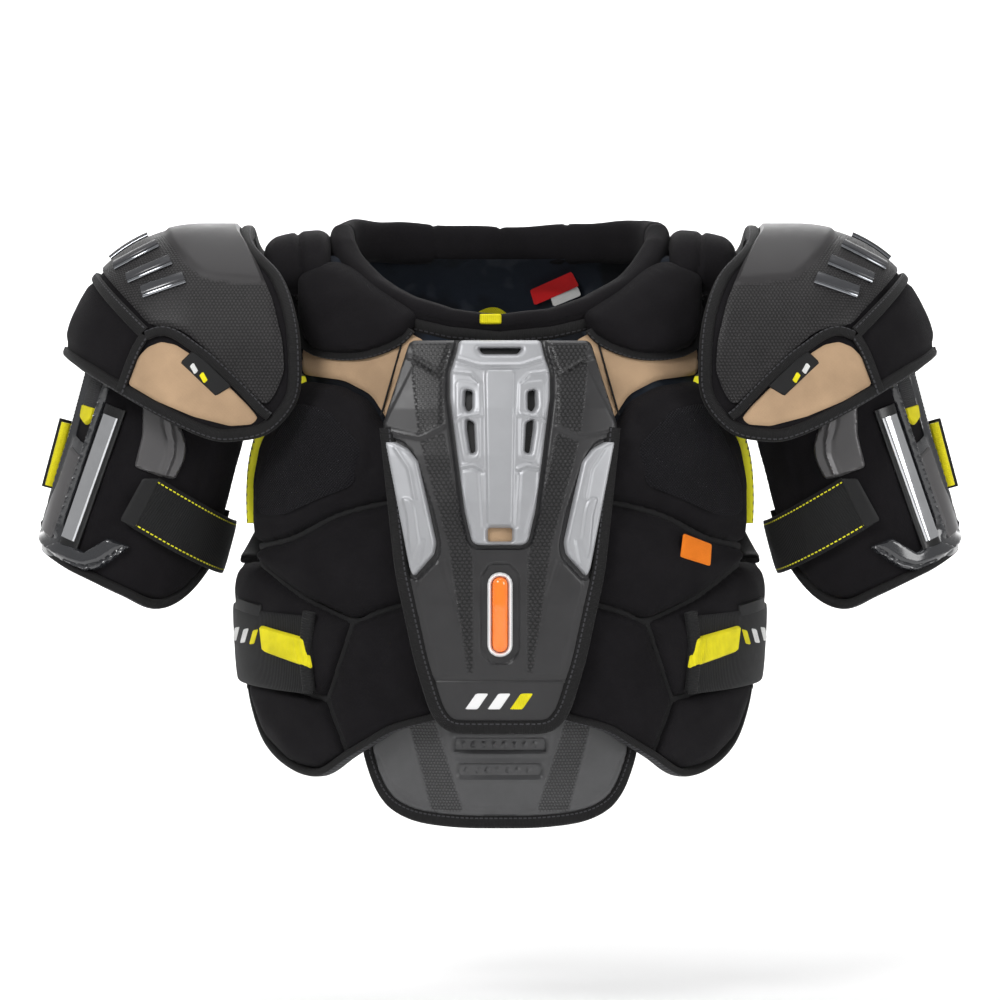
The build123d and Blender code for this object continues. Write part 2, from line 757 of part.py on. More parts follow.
with BuildPart() as left_arm_strap:
    with BuildSketch(SLEEVE_SIDE):
        with BuildLine():
            Polyline(
                (-12, -ARM_STRAP_TOP),
                (-REACH / 3, -strap_end - 6),
                (-REACH / 3, -strap_end - 6 - ARM_STRAP_WIDTH),
                (6, -ARM_STRAP_TOP - ARM_STRAP_WIDTH + 5),
                close=True,
            )
        make_face()
    extrude(amount=REACH, both=True)
    add(
        arc_wall(ARM_STRAP_START, ARM_STRAP_START + ARM_STRAP_THICKNESS, 72, 178, 40, GUARD_LENGTH),
        mode=Mode.INTERSECT,
    )

# ---------------------------------------------------------------- rib straps
RIB_STRAP_START = FOAM_END + 2 * LAYER_GAP
strap_layer = layer(RIB_STRAP_START, RIB_STRAP_START + RIB_STRAP_THICKNESS)
back_strap_layer = layer(RIB_STRAP_START, RIB_STRAP_START + RIB_STRAP_THICKNESS, front=False)
strap_outline = [
    (RIB_STRAP_END, RIB_STRAP_TOP - 5),
    (SIDE + 30, RIB_STRAP_TOP),
    (SIDE + 30, RIB_STRAP_BOTTOM + 4),
    (RIB_STRAP_END, RIB_STRAP_BOTTOM),
]
with BuildPart() as left_rib_strap:
    add(front_piece(strap_outline, strap_layer, corner=2).part)
    with BuildPart(mode=Mode.PRIVATE) as wrap:
        add(front_piece(strap_outline, back_strap_layer, corner=2, front=False).part)
        split(bisect_by=Plane.XZ.offset(-RIB_STRAP_BEHIND), keep=Keep.TOP)
    add(wrap.part)
PULL_TAB_START = RIB_STRAP_START + RIB_STRAP_THICKNESS + LAYER_GAP
tab_middle = (RIB_STRAP_TOP + RIB_STRAP_BOTTOM) / 2
left_rib_pull_tab = front_piece(
    [
        (RIB_STRAP_END - 1, tab_middle - PULL_TAB_HEIGHT / 2),
        (RIB_STRAP_END + 3, tab_middle + PULL_TAB_HEIGHT / 2),
        (RIB_STRAP_END + PULL_TAB_LENGTH, tab_middle + PULL_TAB_HEIGHT / 2 + PULL_TAB_RISE),
        (RIB_STRAP_END + PULL_TAB_LENGTH, tab_middle - PULL_TAB_HEIGHT / 2 + PULL_TAB_RISE),
    ],
    layer(PULL_TAB_START, PULL_TAB_START + PULL_TAB_THICKNESS),
    corner=2,
)

# ---------------------------------------------------------------- mirror and write
single_pieces = {
    "chest_base": chest_base,
    "collar_roll": collar_roll,
    "collar_loop": collar_loop,
    "size_label": size_label,
    "back_base": back_base,
    "spine_pad": spine_pad,
    "spine_plate": spine_plate,
    "sternum_foam": sternum_foam,
    "sternum_plate": sternum_plate,
    "sternum_binding": sternum_binding,
    "sternum_vent_insert": sternum_vent_insert,
    "sternum_wing_inserts": sternum_wing_inserts,
    "capsule_bezel": capsule_bezel,
    "impact_capsule": impact_capsule,
    "belly_foam": belly_foam,
    "belly_plate": belly_plate,
    "belly_binding": belly_binding,
}
paired_pieces = {
    "upper_chest_pad": left_upper_chest_pad,
    "mid_chest_pad": left_mid_chest_pad,
    "lower_chest_pad": left_lower_chest_pad,
    "rib_pad": left_rib_pad,
    "hip_pad": left_hip_pad,
    "yoke_panel": left_yoke_panel,
    "clavicle_pad": left_clavicle_pad,
    "shoulder_pad": left_shoulder_pad,
    "blade_pad": left_blade_pad,
    "lumbar_pad": left_lumbar_pad,
    "cap_foam": left_cap_foam,
    "cap_binding": left_cap_binding,
    "cap_shell": left_cap_shell,
    "cap_vent": left_cap_vent,
    "guard_pad": left_guard_pad,
    "guard_shell": left_guard_shell,
    "guard_bar": left_guard_bar,
    "hanger_straps": left_hanger_straps,
    "arm_strap": left_arm_strap,
    "rib_strap": left_rib_strap,
    "rib_pull_tab": left_rib_pull_tab,
}
pieces = dict(single_pieces)
for name, piece in paired_pieces.items():
    pieces["left_" + name] = piece
    pieces["right_" + name] = other_side(piece)
for name, piece in pieces.items():
    piece.part.label = name
    export_step(piece.part, f"parts/{name}.step")
print(len(pieces), "pieces")
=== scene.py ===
"""Looks for the ice hockey shoulder pads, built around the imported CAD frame.

Everything is in metres in the frame's axes: +Z up, the front faces -Y, the wearer's left is +X.
Soft and moulded pieces are drawn as outlines on a surface (the chest, a shoulder cap or a sleeve),
filled with a fine mesh, raised by a height profile and laid on that surface.
"""

import logging
import math
from dataclasses import dataclass, field
from enum import Enum
from typing import Any, Callable, Optional, Sequence

import bmesh
import bpy
import numpy as np
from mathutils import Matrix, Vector
from mathutils.geometry import delaunay_2d_cdt

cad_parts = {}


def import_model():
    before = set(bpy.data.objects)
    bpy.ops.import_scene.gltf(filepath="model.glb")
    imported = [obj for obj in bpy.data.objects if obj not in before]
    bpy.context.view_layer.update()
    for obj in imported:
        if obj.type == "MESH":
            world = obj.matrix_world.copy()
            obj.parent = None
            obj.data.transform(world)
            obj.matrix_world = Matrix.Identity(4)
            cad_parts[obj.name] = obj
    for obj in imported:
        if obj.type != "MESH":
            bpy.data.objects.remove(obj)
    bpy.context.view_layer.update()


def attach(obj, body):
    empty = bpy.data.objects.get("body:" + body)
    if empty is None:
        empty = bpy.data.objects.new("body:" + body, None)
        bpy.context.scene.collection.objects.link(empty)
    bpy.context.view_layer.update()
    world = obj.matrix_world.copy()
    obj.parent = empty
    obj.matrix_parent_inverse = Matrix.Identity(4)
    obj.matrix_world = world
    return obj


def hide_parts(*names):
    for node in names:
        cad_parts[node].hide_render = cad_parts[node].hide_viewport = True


LOG = logging.getLogger("shoulder_pads")
MM = 0.001
SIDES = {"left": 1, "right": -1}

Point = tuple[float, float]
Outline = Sequence[Point]
Socket = bpy.types.NodeSocket


# ------------------------------------------------------------------ outlines in the plane
def rounded(outline: Outline, radius: float, steps: int = 5) -> np.ndarray:
    """Rounds the corners of a closed outline.

    Args:
        outline: corner points, in millimetres.
        radius: how far from each corner the rounding starts at most.
        steps: points per corner.

    Returns:
        The rounded outline's points.
    """
    points = np.array(outline, float)
    result = []
    count = len(points)
    for i in range(count):
        before, corner, after = points[i - 1], points[i], points[(i + 1) % count]
        lead = before - corner
        trail = after - corner
        reach_in = min(radius, 0.45 * np.linalg.norm(lead))
        reach_out = min(radius, 0.45 * np.linalg.norm(trail))
        start = corner + lead / max(np.linalg.norm(lead), 1e-9) * reach_in
        end = corner + trail / max(np.linalg.norm(trail), 1e-9) * reach_out
        for t in np.linspace(0, 1, steps):
            result.append((1 - t) ** 2 * start + 2 * t * (1 - t) * corner + t**2 * end)
    return np.array(result)


def rounded_path(points: Outline, radius: float) -> np.ndarray:
    """Rounds the corners of an open path.

    Args:
        points: its points, in millimetres.
        radius: how far from each corner the rounding starts at most.

    Returns:
        The rounded path's points.
    """
    points = [np.array(p, float) for p in points]
    line = [points[0]]
    for before, corner, after in zip(points, points[1:], points[2:]):
        reach_in = min(radius, np.linalg.norm(before - corner) / 2)
        reach_out = min(radius, np.linalg.norm(after - corner) / 2)
        start = corner + (before - corner) / np.linalg.norm(before - corner) * reach_in
        end = corner + (after - corner) / np.linalg.norm(after - corner) * reach_out
        for t in np.linspace(0, 1, 6):
            line.append((1 - t) ** 2 * start + 2 * t * (1 - t) * corner + t**2 * end)
    line.append(points[-1])
    return np.array(line)


def evenly(outline: np.ndarray, step: float, closed: bool = True) -> np.ndarray:
    """Spaces points evenly along a polyline.

    Args:
        outline: the polyline's points.
        step: about how far apart the new ones are.
        closed: whether its last point joins the first.

    Returns:
        The new points.
    """
    loop = np.vstack([outline, outline[:1]]) if closed else np.asarray(outline, float)
    lengths = np.r_[0, np.cumsum(np.linalg.norm(np.diff(loop, axis=0), axis=1))]
    count = max(int(round(lengths[-1] / step)), 4)
    marks = np.linspace(0, lengths[-1], count + 1)
    points = np.column_stack([np.interp(marks, lengths, loop[:, k]) for k in range(loop.shape[1])])
    return points[:-1] if closed else points


def smooth_line(points: Outline, step: float, closed: bool = False) -> np.ndarray:
    """Draws a smooth curve through points.

    Args:
        points: the points, in millimetres.
        step: about how far apart the curve's own points are.
        closed: whether the last point joins the first.

    Returns:
        The curve's points, evenly spaced.
    """
    knots = np.array(points, float)
    count = len(knots)
    spans = range(count if closed else count - 1)
    result = []
    for i in spans:
        p1, p2 = knots[i], knots[(i + 1) % count]
        p0 = knots[i - 1] if closed or i else 2 * p1 - p2
        p3 = knots[(i + 2) % count] if closed or i + 2 < count else 2 * p2 - p1
        for t in np.linspace(0, 1, 16, endpoint=False):
            result.append(
                0.5
                * (
                    2 * p1
                    + (p2 - p0) * t
                    + (2 * p0 - 5 * p1 + 4 * p2 - p3) * t**2
                    + (3 * p1 - p0 - 3 * p2 + p3) * t**3
                )
            )
    if not closed:
        result.append(knots[-1])
    return evenly(np.array(result), step, closed)


def inside(points: np.ndarray, loop: np.ndarray) -> np.ndarray:
    """Tells which points lie inside a closed loop.

    Args:
        points: the points to ask about.
        loop: the loop's points.

    Returns:
        True or False for each point.
    """
    x, y = points[:, 0][:, None], points[:, 1][:, None]
    ax, ay = loop[:, 0][None], loop[:, 1][None]
    bx, by = np.roll(loop[:, 0], -1)[None], np.roll(loop[:, 1], -1)[None]
    crosses = (ay > y) != (by > y)
    slope = np.where(by == ay, 1e-12, by - ay)
    hits = crosses & (x < (bx - ax) * (y - ay) / slope + ax)
    return hits.sum(axis=1) % 2 == 1


def reach(points: np.ndarray, line: np.ndarray, closed: bool = True) -> np.ndarray:
    """Measures how far points are from a polyline.

    Args:
        points: the points to measure from.
        line: the polyline's points.
        closed: whether its last point joins the first.

    Returns:
        The distance of each point.
    """
    starts = line if closed else line[:-1]
    ends = np.roll(line, -1, axis=0) if closed else line[1:]
    best = np.full(len(points), 1e9)
    for a, b in zip(starts, ends):
        along = b - a
        t = np.clip(((points - a) @ along) / max(along @ along, 1e-12), 0, 1)
        best = np.minimum(best, np.linalg.norm(points - (a + t[:, None] * along), axis=1))
    return best


def signed_reach(points: np.ndarray, loop: np.ndarray) -> np.ndarray:
    """Distance to a loop, positive inside it."""
    return np.where(inside(points, loop), 1, -1) * reach(points, loop)


def ease(value: np.ndarray, low: float, high: float) -> np.ndarray:
    """A smooth step from 0 at low to 1 at high."""
    t = np.clip((value - low) / (high - low), 0, 1)
    return t * t * (3 - 2 * t)


# ------------------------------------------------------------------ surfaces that pieces lie on
class Surface:
    """A surface with flat coordinates (u, v) in millimetres and a growth d outwards."""

    def from_front(self, points: np.ndarray) -> np.ndarray:
        """Flat coordinates of points seen from the front.

        Args:
            points: x and z of each point, in millimetres.

        Returns:
            u and v of each point, in millimetres.
        """
        raise NotImplementedError

    def at(self, flat: np.ndarray, grow: np.ndarray) -> np.ndarray:
        """Places in space of points on or off the surface.

        Args:
            flat: u and v of each point, in millimetres.
            grow: how far each point stands off the surface, in millimetres.

        Returns:
            x, y and z of each point, in millimetres.
        """
        raise NotImplementedError


@dataclass(frozen=True)
class Torso(Surface):
    """The body form: ellipses stacked up, deeper at the chest, closing over at the shoulders."""

    front: bool = True
    half_width: float = 171.0
    chest_depth: float = 118.0
    back_depth: float = 104.0
    heights: tuple = (-352, -310, -270, -230, -190, -150, -120, -90, -60, -35, -10, 12, 30, 44, 56)
    widths: tuple = (
        0.925, 0.95, 0.972, 0.988, 1.0, 1.0, 1.0, 0.999, 0.995, 0.988, 0.977, 0.962, 0.938, 0.90, 0.84,
    )
    front_depths: tuple = (
        0.86, 0.91, 0.95, 0.98, 1.0, 1.0, 0.98, 0.94, 0.88, 0.80, 0.70, 0.60, 0.49, 0.37, 0.22,
    )
    back_depths: tuple = (
        0.90, 0.92, 0.935, 0.95, 0.965, 0.985, 1.0, 1.0, 1.0, 0.99, 0.96, 0.92, 0.85, 0.74, 0.60,
    )
    rises: tuple = (0, 0, 0, 0, 0, 0, 0, 0.03, 0.1, 0.2, 0.38, 0.55, 0.72, 0.87, 1.0)

    def _section(self, level: np.ndarray, grow: np.ndarray) -> tuple[np.ndarray, np.ndarray]:
        """The form's half width and depth at some levels.

        Args:
            level: heights, in millimetres.
            grow: how far the form is grown outwards there.

        Returns:
            The half widths and the depths.
        """
        base = level - grow * np.interp(level, self.heights, self.rises)
        for _ in range(3):
            base = level - grow * np.interp(base, self.heights, self.rises)
        depths = self.front_depths if self.front else self.back_depths
        depth = self.chest_depth if self.front else self.back_depth
        width = self.half_width * np.interp(base, self.heights, self.widths) + grow
        return width, depth * np.interp(base, self.heights, depths) + grow

    def from_front(self, points: np.ndarray) -> np.ndarray:
        """Flat coordinates of front-view points; see Surface.from_front."""
        points = np.asarray(points, float)
        width, _ = self._section(points[:, 1], np.full(len(points), 9.0))
        angle = np.arcsin(np.clip(points[:, 0] / width, -1, 1))
        return np.column_stack([angle * self.half_width, points[:, 1]])

    def at(self, flat: np.ndarray, grow: np.ndarray) -> np.ndarray:
        """Places of flat points lifted by grow; see Surface.at."""
        angle = flat[:, 0] / self.half_width
        width, own = self._section(flat[:, 1], grow)
        other_half = Torso(front=not self.front)
        _, other = other_half._section(flat[:, 1], grow)
        toward = -1 if self.front else 1
        depth = np.where(np.cos(angle) >= 0, own, other)
        return np.column_stack(
            [width * np.sin(angle), toward * depth * np.cos(angle), flat[:, 1]]
        )


@dataclass(frozen=True)
class CapDome(Surface):
    """A dome over the shoulder at +X: an arch inwards, a quarter ball outwards, straight legs."""

    front: bool = True
    centre: tuple = (210.0, -3.0, -28.0)
    radius: float = 97.0

    def from_front(self, points: np.ndarray) -> np.ndarray:
        """Flat coordinates of front-view points; see Surface.from_front."""
        points = np.asarray(points, float)
        middle = np.array([self.centre[0], self.centre[2]])
        root = np.minimum(points, middle)
        away = points - root
        far = np.linalg.norm(away, axis=1)
        arc = self.radius * np.arcsin(np.clip(far / self.radius, 0, 1))
        scale = np.where(far > 1e-9, arc / np.maximum(far, 1e-9), 1)
        return root + away * scale[:, None]

    def at(self, flat: np.ndarray, grow: np.ndarray) -> np.ndarray:
        """Places of flat points lifted by grow; see Surface.at."""
        middle = np.array([self.centre[0], self.centre[2]])
        root = np.minimum(flat, middle)
        away = flat - root
        far = np.linalg.norm(away, axis=1)
        angle = far / self.radius
        unit = away / np.maximum(far, 1e-9)[:, None]
        size = self.radius + grow
        toward = -1 if self.front else 1
        side = size * np.sin(angle)
        return np.column_stack(
            [
                root[:, 0] + unit[:, 0] * side,
                self.centre[1] + toward * size * np.cos(angle),
                root[:, 1] + unit[:, 1] * side,
            ]
        )


@dataclass(frozen=True)
class Sleeve(Surface):
    """The bicep guard's tilted tube: u runs round it from the outer side to the front, v down."""

    top: tuple = (222.0, -3.0, -8.0)
    tilt: float = math.radians(15)
    radius: float = 61.0

    def from_front(self, points: np.ndarray) -> np.ndarray:
        """Flat coordinates of front-view points; see Surface.from_front."""
        points = np.asarray(points, float)
        x, z = points[:, 0] - self.top[0], points[:, 1] - self.top[2]
        across = x * math.cos(self.tilt) + z * math.sin(self.tilt)
        down = x * math.sin(self.tilt) - z * math.cos(self.tilt)
        angle = np.arccos(np.clip(across / (self.radius + 3), -1, 1))
        return np.column_stack([angle * self.radius, -down])

    def at(self, flat: np.ndarray, grow: np.ndarray) -> np.ndarray:
        """Places of flat points lifted by grow; see Surface.at."""
        angle = flat[:, 0] / self.radius
        size = self.radius + grow
        across, down = size * np.cos(angle), -flat[:, 1]
        return np.column_stack(
            [
                self.top[0] + across * math.cos(self.tilt) + down * math.sin(self.tilt),
                self.top[1] - size * np.sin(angle),
                self.top[2] + across * math.sin(self.tilt) - down * math.cos(self.tilt),
            ]
        )


FRONT = Torso()
BACK = Torso(front=False)
CAP_FRONT = CapDome()
CAP_BACK = CapDome(front=False)
SLEEVE = Sleeve()


# ------------------------------------------------------------------ finishes
class Nodes:
    """Builds a material's node tree with short calls."""

    def __init__(self, name: str) -> None:
        """Starts a material of that name with one surface shader."""
        self.material = bpy.data.materials.new(name)
        self.material.use_nodes = True
        self.tree = self.material.node_tree
        self.tree.nodes.clear()
        self.output = self.tree.nodes.new("ShaderNodeOutputMaterial")
        self.shader = self.tree.nodes.new("ShaderNodeBsdfPrincipled")
        self.tree.links.new(self.shader.outputs[0], self.output.inputs[0])

    def new(self, kind: str, links: Optional[dict] = None, **values: Any) -> bpy.types.Node:
        """Adds a node.

        Args:
            kind: the node's type.
            links: a value or a socket for each input, by name or number.
            values: the node's own properties.

        Returns:
            The node.
        """
        node = self.tree.nodes.new(kind)
        for key, value in values.items():
            setattr(node, key, value)
        for key, value in (links or {}).items():
            if hasattr(value, "is_output"):
                self.tree.links.new(value, node.inputs[key])
            else:
                node.inputs[key].default_value = value
        return node

    def math(self, operation: str, *values: Any) -> Socket:
        """The result of a maths node."""
        node = self.new("ShaderNodeMath", dict(enumerate(values)), operation=operation)
        return node.outputs[0]

    def flat(self, turn: float = 0.0) -> tuple[Socket, Socket, Socket]:
        """The piece's own flat coordinates in millimetres: u, v and both, turned by an angle."""
        uv = self.new("ShaderNodeUVMap", uv_map="flat")
        turned = self.new("ShaderNodeVectorRotate", {0: uv.outputs[0], 3: turn}, rotation_type="Z_AXIS")
        parts = self.new("ShaderNodeSeparateXYZ", {0: turned.outputs[0]})
        return parts.outputs[0], parts.outputs[1], turned.outputs[0]

    def noise(self, scale: float, detail: float = 3.0, roughness: float = 0.5) -> Socket:
        """Noise from 0 to 1 in the object's own space, scale per metre."""
        source = self.new("ShaderNodeTexCoord").outputs["Object"]
        node = self.new(
            "ShaderNodeTexNoise",
            {"Vector": source, "Scale": scale, "Detail": detail, "Roughness": roughness},
        )
        return node.outputs[0]

    def ramp(
        self, value: Any, low: float, high: float, out_low: float = 0.0, out_high: float = 1.0
    ) -> Socket:
        """Maps the range low to high to the range out_low to out_high, clamped."""
        node = self.new(
            "ShaderNodeMapRange", {0: value, 1: low, 2: high, 3: out_low, 4: out_high}
        )
        return node.outputs[0]

    def mix(self, factor: Any, first: Any, second: Any) -> Socket:
        """Mixes two colours, the second in full at a factor of 1."""
        node = self.new("ShaderNodeMix", data_type="RGBA")
        for socket, value in ((0, factor), (6, first), (7, second)):
            if hasattr(value, "is_output"):
                self.tree.links.new(value, node.inputs[socket])
            else:
                node.inputs[socket].default_value = value
        return node.outputs[2]

    def colour(self, value: Any) -> None:
        """Links or sets the base colour."""
        self._plug("Base Color", value)

    def _plug(self, name: str, value: Any) -> None:
        """Links or sets one input of the surface shader."""
        if hasattr(value, "is_output"):
            self.tree.links.new(value, self.shader.inputs[name])
        else:
            self.shader.inputs[name].default_value = value

    def set(self, **values: Any) -> None:
        """Sets or links shader inputs; underscores stand for spaces."""
        for key, value in values.items():
            self._plug(key.replace("_", " "), value)

    def bump(
        self, height: Socket, distance: float, strength: float = 1.0, after: Optional[Socket] = None
    ) -> Socket:
        """Bumps the surface by a height from 0 to 1.

        Args:
            height: the height.
            distance: the bump's depth, in metres.
            strength: how much of it shows.
            after: another bump's result, to add to.

        Returns:
            The bumped normal.
        """
        links = {"Height": height, "Distance": distance, "Strength": strength}
        if after is not None:
            links["Normal"] = after
        node = self.new("ShaderNodeBump", links)
        self.tree.links.new(node.outputs[0], self.shader.inputs["Normal"])
        return node.outputs[0]


def rgba(red: float, green: float, blue: float) -> tuple[float, float, float, float]:
    """A colour with full opacity."""
    return (red, green, blue, 1.0)


class Weave(Enum):
    """How a cloth's threads lie."""

    KNIT = "knit"
    MESH = "mesh"
    PLAIN = "plain"


@dataclass(frozen=True)
class Cloth:
    """A woven or knitted cloth with sheen, a weave bump, slight random colour variation and painted shade in
    the weave's hollows.
    """

    name: str
    colour: tuple
    weave: Weave = Weave.KNIT
    pitch: float = 1.3
    depth: float = 0.00025
    sheen: float = 0.25
    roughness: float = 0.85

    def make(self) -> bpy.types.Material:
        """The Blender material."""
        n = Nodes(self.name)
        u, v, _ = n.flat(math.radians(45) if self.weave is Weave.MESH else 0.0)
        rate = 2 * math.pi / self.pitch
        across = n.math("SINE", n.math("MULTIPLY", u, rate))
        along = n.math("SINE", n.math("MULTIPLY", v, rate * (0.75 if self.weave is Weave.KNIT else 1)))
        if self.weave is Weave.KNIT:
            shift = n.math("ABSOLUTE", across)
            wave = n.math("MULTIPLY", v, rate * 0.75)
            along = n.math("SINE", n.math("ADD", wave, n.math("MULTIPLY", shift, 2.2)))
            height = n.math("MULTIPLY", n.math("ADD", along, 1.0), n.math("ADD", shift, 0.3))
        elif self.weave is Weave.MESH:
            height = n.math("ADD", n.math("ABSOLUTE", across), n.math("ABSOLUTE", along))
        else:
            height = n.math("ADD", n.math("MULTIPLY", across, along), 1.0)
        height = n.math("MULTIPLY", height, 0.5)
        patchy = n.noise(38.0, 4.0)
        fuzz = n.noise(900.0, 2.0)
        dark = tuple(c * 0.62 for c in self.colour[:3]) + (1.0,)
        light = tuple(min(c * 1.35 + 0.003, 1) for c in self.colour[:3]) + (1.0,)
        # The colour mixes random patches with the weave height. The raised threads are painted lighter and
        # the hollows darker, as painted shade.
        tone = n.math("ADD", n.math("MULTIPLY", patchy, 0.55), n.math("MULTIPLY", height, 0.42))
        n.colour(n.mix(n.ramp(tone, 0.2, 0.85), dark, light))
        n.set(
            Roughness=n.ramp(fuzz, 0.2, 0.8, self.roughness - 0.08, min(self.roughness + 0.1, 1.0)),
            Sheen_Weight=self.sheen,
            Sheen_Roughness=0.4,
            Specular_IOR_Level=0.12,
        )
        first = n.bump(height, self.depth)
        n.bump(fuzz, 0.0001, 0.6, after=first)
        return n.material


@dataclass(frozen=True)
class Tape:
    """Woven binding tape. u runs along it and v across it; rows of stitches lie near its edges."""

    name: str
    colour: tuple
    width: float = 9.0
    rows: tuple = (-2.6,)
    stitch: tuple = rgba(0.045, 0.045, 0.05)
    stitch_pitch: float = 3.6
    stitch_width: float = 0.5
    rib: float = 1.1

    def make(self) -> bpy.types.Material:
        """The Blender material."""
        n = Nodes(self.name)
        u, v, _ = n.flat()
        ribs = n.math("SINE", n.math("MULTIPLY", u, 2 * math.pi / self.rib))
        threads = n.math("SINE", n.math("MULTIPLY", v, 2 * math.pi / 0.8))
        weave = n.math("MULTIPLY", n.math("ADD", ribs, n.math("MULTIPLY", threads, 0.4)), 0.35)
        phase = n.math("FRACT", n.math("DIVIDE", u, self.stitch_pitch))
        dash = n.ramp(n.math("ABSOLUTE", n.math("SUBTRACT", phase, 0.5)), 0.30, 0.36, 1.0, 0.0)
        mask = None
        for row in self.rows:
            near = n.math("ABSOLUTE", n.math("SUBTRACT", v, row))
            line = n.ramp(near, self.stitch_width * 0.7, self.stitch_width, 1.0, 0.0)
            line = n.math("MULTIPLY", line, dash)
            mask = line if mask is None else n.math("MAXIMUM", mask, line)
        patchy = n.noise(60.0, 3.0)
        dark = tuple(c * 0.7 for c in self.colour[:3]) + (1.0,)
        base = n.mix(n.ramp(patchy, 0.3, 0.7), dark, self.colour)
        height = weave
        if mask is not None:
            base = n.mix(mask, base, self.stitch)
            height = n.math("ADD", weave, n.math("MULTIPLY", mask, 1.6))
        n.colour(base)
        n.set(Roughness=0.72, Sheen_Weight=0.06, Sheen_Roughness=0.4, Specular_IOR_Level=0.25)
        n.bump(height, 0.0003)
        return n.material


class Emboss(Enum):
    """Texture moulded into plastic."""

    NONE = "none"
    HEX = "hex"
    DIAMOND = "diamond"


@dataclass(frozen=True)
class Plastic:
    """Moulded plastic with an embossed texture and fine scuffs."""

    name: str
    colour: tuple
    roughness: float = 0.45
    emboss: Emboss = Emboss.NONE
    pitch: float = 3.0
    depth: float = 0.0003
    metallic: float = 0.0
    coat: float = 0.0
    specular: float = 0.5
    masked: bool = False
    wear: float = 1.0

    def make(self) -> bpy.types.Material:
        """The Blender material. A masked one shows its texture where the piece's mask is 1."""
        n = Nodes(self.name)
        grain = n.noise(1400.0, 3.0)
        scuff = n.noise(55.0, 6.0, roughness=0.65)
        tone = n.ramp(scuff, 0.35, 0.7, 1 - 0.14 * self.wear, 1 + 0.08 * self.wear)
        colour = n.new("ShaderNodeVectorMath", {0: self.colour[:3], 3: 1.0}, operation="SCALE")
        n.tree.links.new(tone, colour.inputs[3])
        base = colour.outputs[0]
        height = None
        if self.emboss in (Emboss.HEX, Emboss.DIAMOND):
            u, v, _ = n.flat()
            if self.emboss is Emboss.HEX:
                row = n.math("FLOOR", n.math("DIVIDE", v, self.pitch * 0.866))
                odd = n.math("FRACT", n.math("MULTIPLY", row, 0.5))
                x = n.math("FRACT", n.math("ADD", n.math("DIVIDE", u, self.pitch), odd))
                y = n.math("FRACT", n.math("DIVIDE", v, self.pitch * 0.866))
                dx = n.math("SUBTRACT", x, 0.5)
                dy = n.math("SUBTRACT", y, 0.5)
                far = n.math("SQRT", n.math("ADD", n.math("MULTIPLY", dx, dx), n.math("MULTIPLY", dy, dy)))
                height = n.ramp(far, 0.26, 0.44, 1.0, 0.0)
            else:
                a = n.math("ADD", n.math("DIVIDE", u, self.pitch), n.math("DIVIDE", v, self.pitch * 1.3))
                b = n.math("SUBTRACT", n.math("DIVIDE", u, self.pitch), n.math("DIVIDE", v, self.pitch * 1.3))
                fa = n.math("ABSOLUTE", n.math("SUBTRACT", n.math("FRACT", a), 0.5))
                fb = n.math("ABSOLUTE", n.math("SUBTRACT", n.math("FRACT", b), 0.5))
                height = n.ramp(n.math("MAXIMUM", fa, fb), 0.30, 0.46, 1.0, 0.0)
            if self.masked:
                mask = n.new("ShaderNodeAttribute", attribute_name="texture").outputs["Fac"]
                height = n.math("ADD", n.math("MULTIPLY", height, mask), n.math("SUBTRACT", 1.0, mask))
            # Painted shade and painted highlight: the base colour is darkened in the hollows between the
            # embossed hexes and lightened on their tops. Where the mask is 0 the face takes the lighter top
            # value.
            shade = n.ramp(height, 0.0, 1.0, 0.35, 1.12)
            painted_hex_shade = n.new("ShaderNodeVectorMath", {0: base, 3: 1.0}, operation="SCALE")
            n.tree.links.new(shade, painted_hex_shade.inputs[3])
            base = painted_hex_shade.outputs[0]
        n.tree.links.new(base, n.shader.inputs["Base Color"])
        n.set(
            Roughness=n.ramp(
                scuff, 0.3, 0.75, self.roughness - 0.05 * self.wear, self.roughness + 0.07 * self.wear
            ),
            Metallic=self.metallic,
            Coat_Weight=self.coat,
            Coat_Roughness=0.12,
            Specular_IOR_Level=self.specular,
        )
        after = n.bump(height, self.depth) if height is not None else None
        n.bump(grain, 0.00005 * self.wear, 0.5, after=after)
        return n.material


@dataclass(frozen=True)
class Camouflage:
    """Dark lining cloth with large soft patches of blue-black and grey."""

    name: str

    def make(self) -> bpy.types.Material:
        """The Blender material."""
        n = Nodes(self.name)
        blotch = n.noise(17.0, 3.0)
        streak = n.noise(34.0, 2.0)
        steps = n.ramp(blotch, 0.46, 0.53)
        deep = n.mix(steps, rgba(0.0035, 0.0045, 0.007), rgba(0.009, 0.013, 0.021))
        base = n.mix(n.ramp(streak, 0.58, 0.64), deep, rgba(0.022, 0.027, 0.036))
        n.colour(base)
        u, v, _ = n.flat()
        weave = n.math(
            "MULTIPLY",
            n.math("SINE", n.math("MULTIPLY", u, 5.0)),
            n.math("SINE", n.math("MULTIPLY", v, 5.0)),
        )
        n.set(Roughness=0.8, Sheen_Weight=0.05, Specular_IOR_Level=0.15)
        n.bump(weave, 0.00015)
        return n.material


@dataclass(frozen=True)
class ZigZagTrim:
    """Yellow trim tape with a black zigzag."""

    name: str
    pitch: float = 6.0
    width: float = 7.0

    def make(self) -> bpy.types.Material:
        """The Blender material."""
        n = Nodes(self.name)
        u, v, _ = n.flat()
        phase = n.math("FRACT", n.math("DIVIDE", u, self.pitch))
        tooth = n.math("ABSOLUTE", n.math("SUBTRACT", n.math("MULTIPLY", phase, 2.0), 1.0))
        edge = n.math("MULTIPLY", n.math("SUBTRACT", tooth, 0.5), self.width * 0.5)
        black = n.ramp(n.math("SUBTRACT", v, edge), -0.25, 0.25, 0.0, 1.0)
        n.colour(n.mix(black, rgba(0.84, 0.80, 0.01), rgba(0.02, 0.02, 0.01)))
        weave = n.math("SINE", n.math("MULTIPLY", u, 6.5))
        n.set(Roughness=0.7, Sheen_Weight=0.15)
        n.bump(weave, 0.00015)
        return n.material


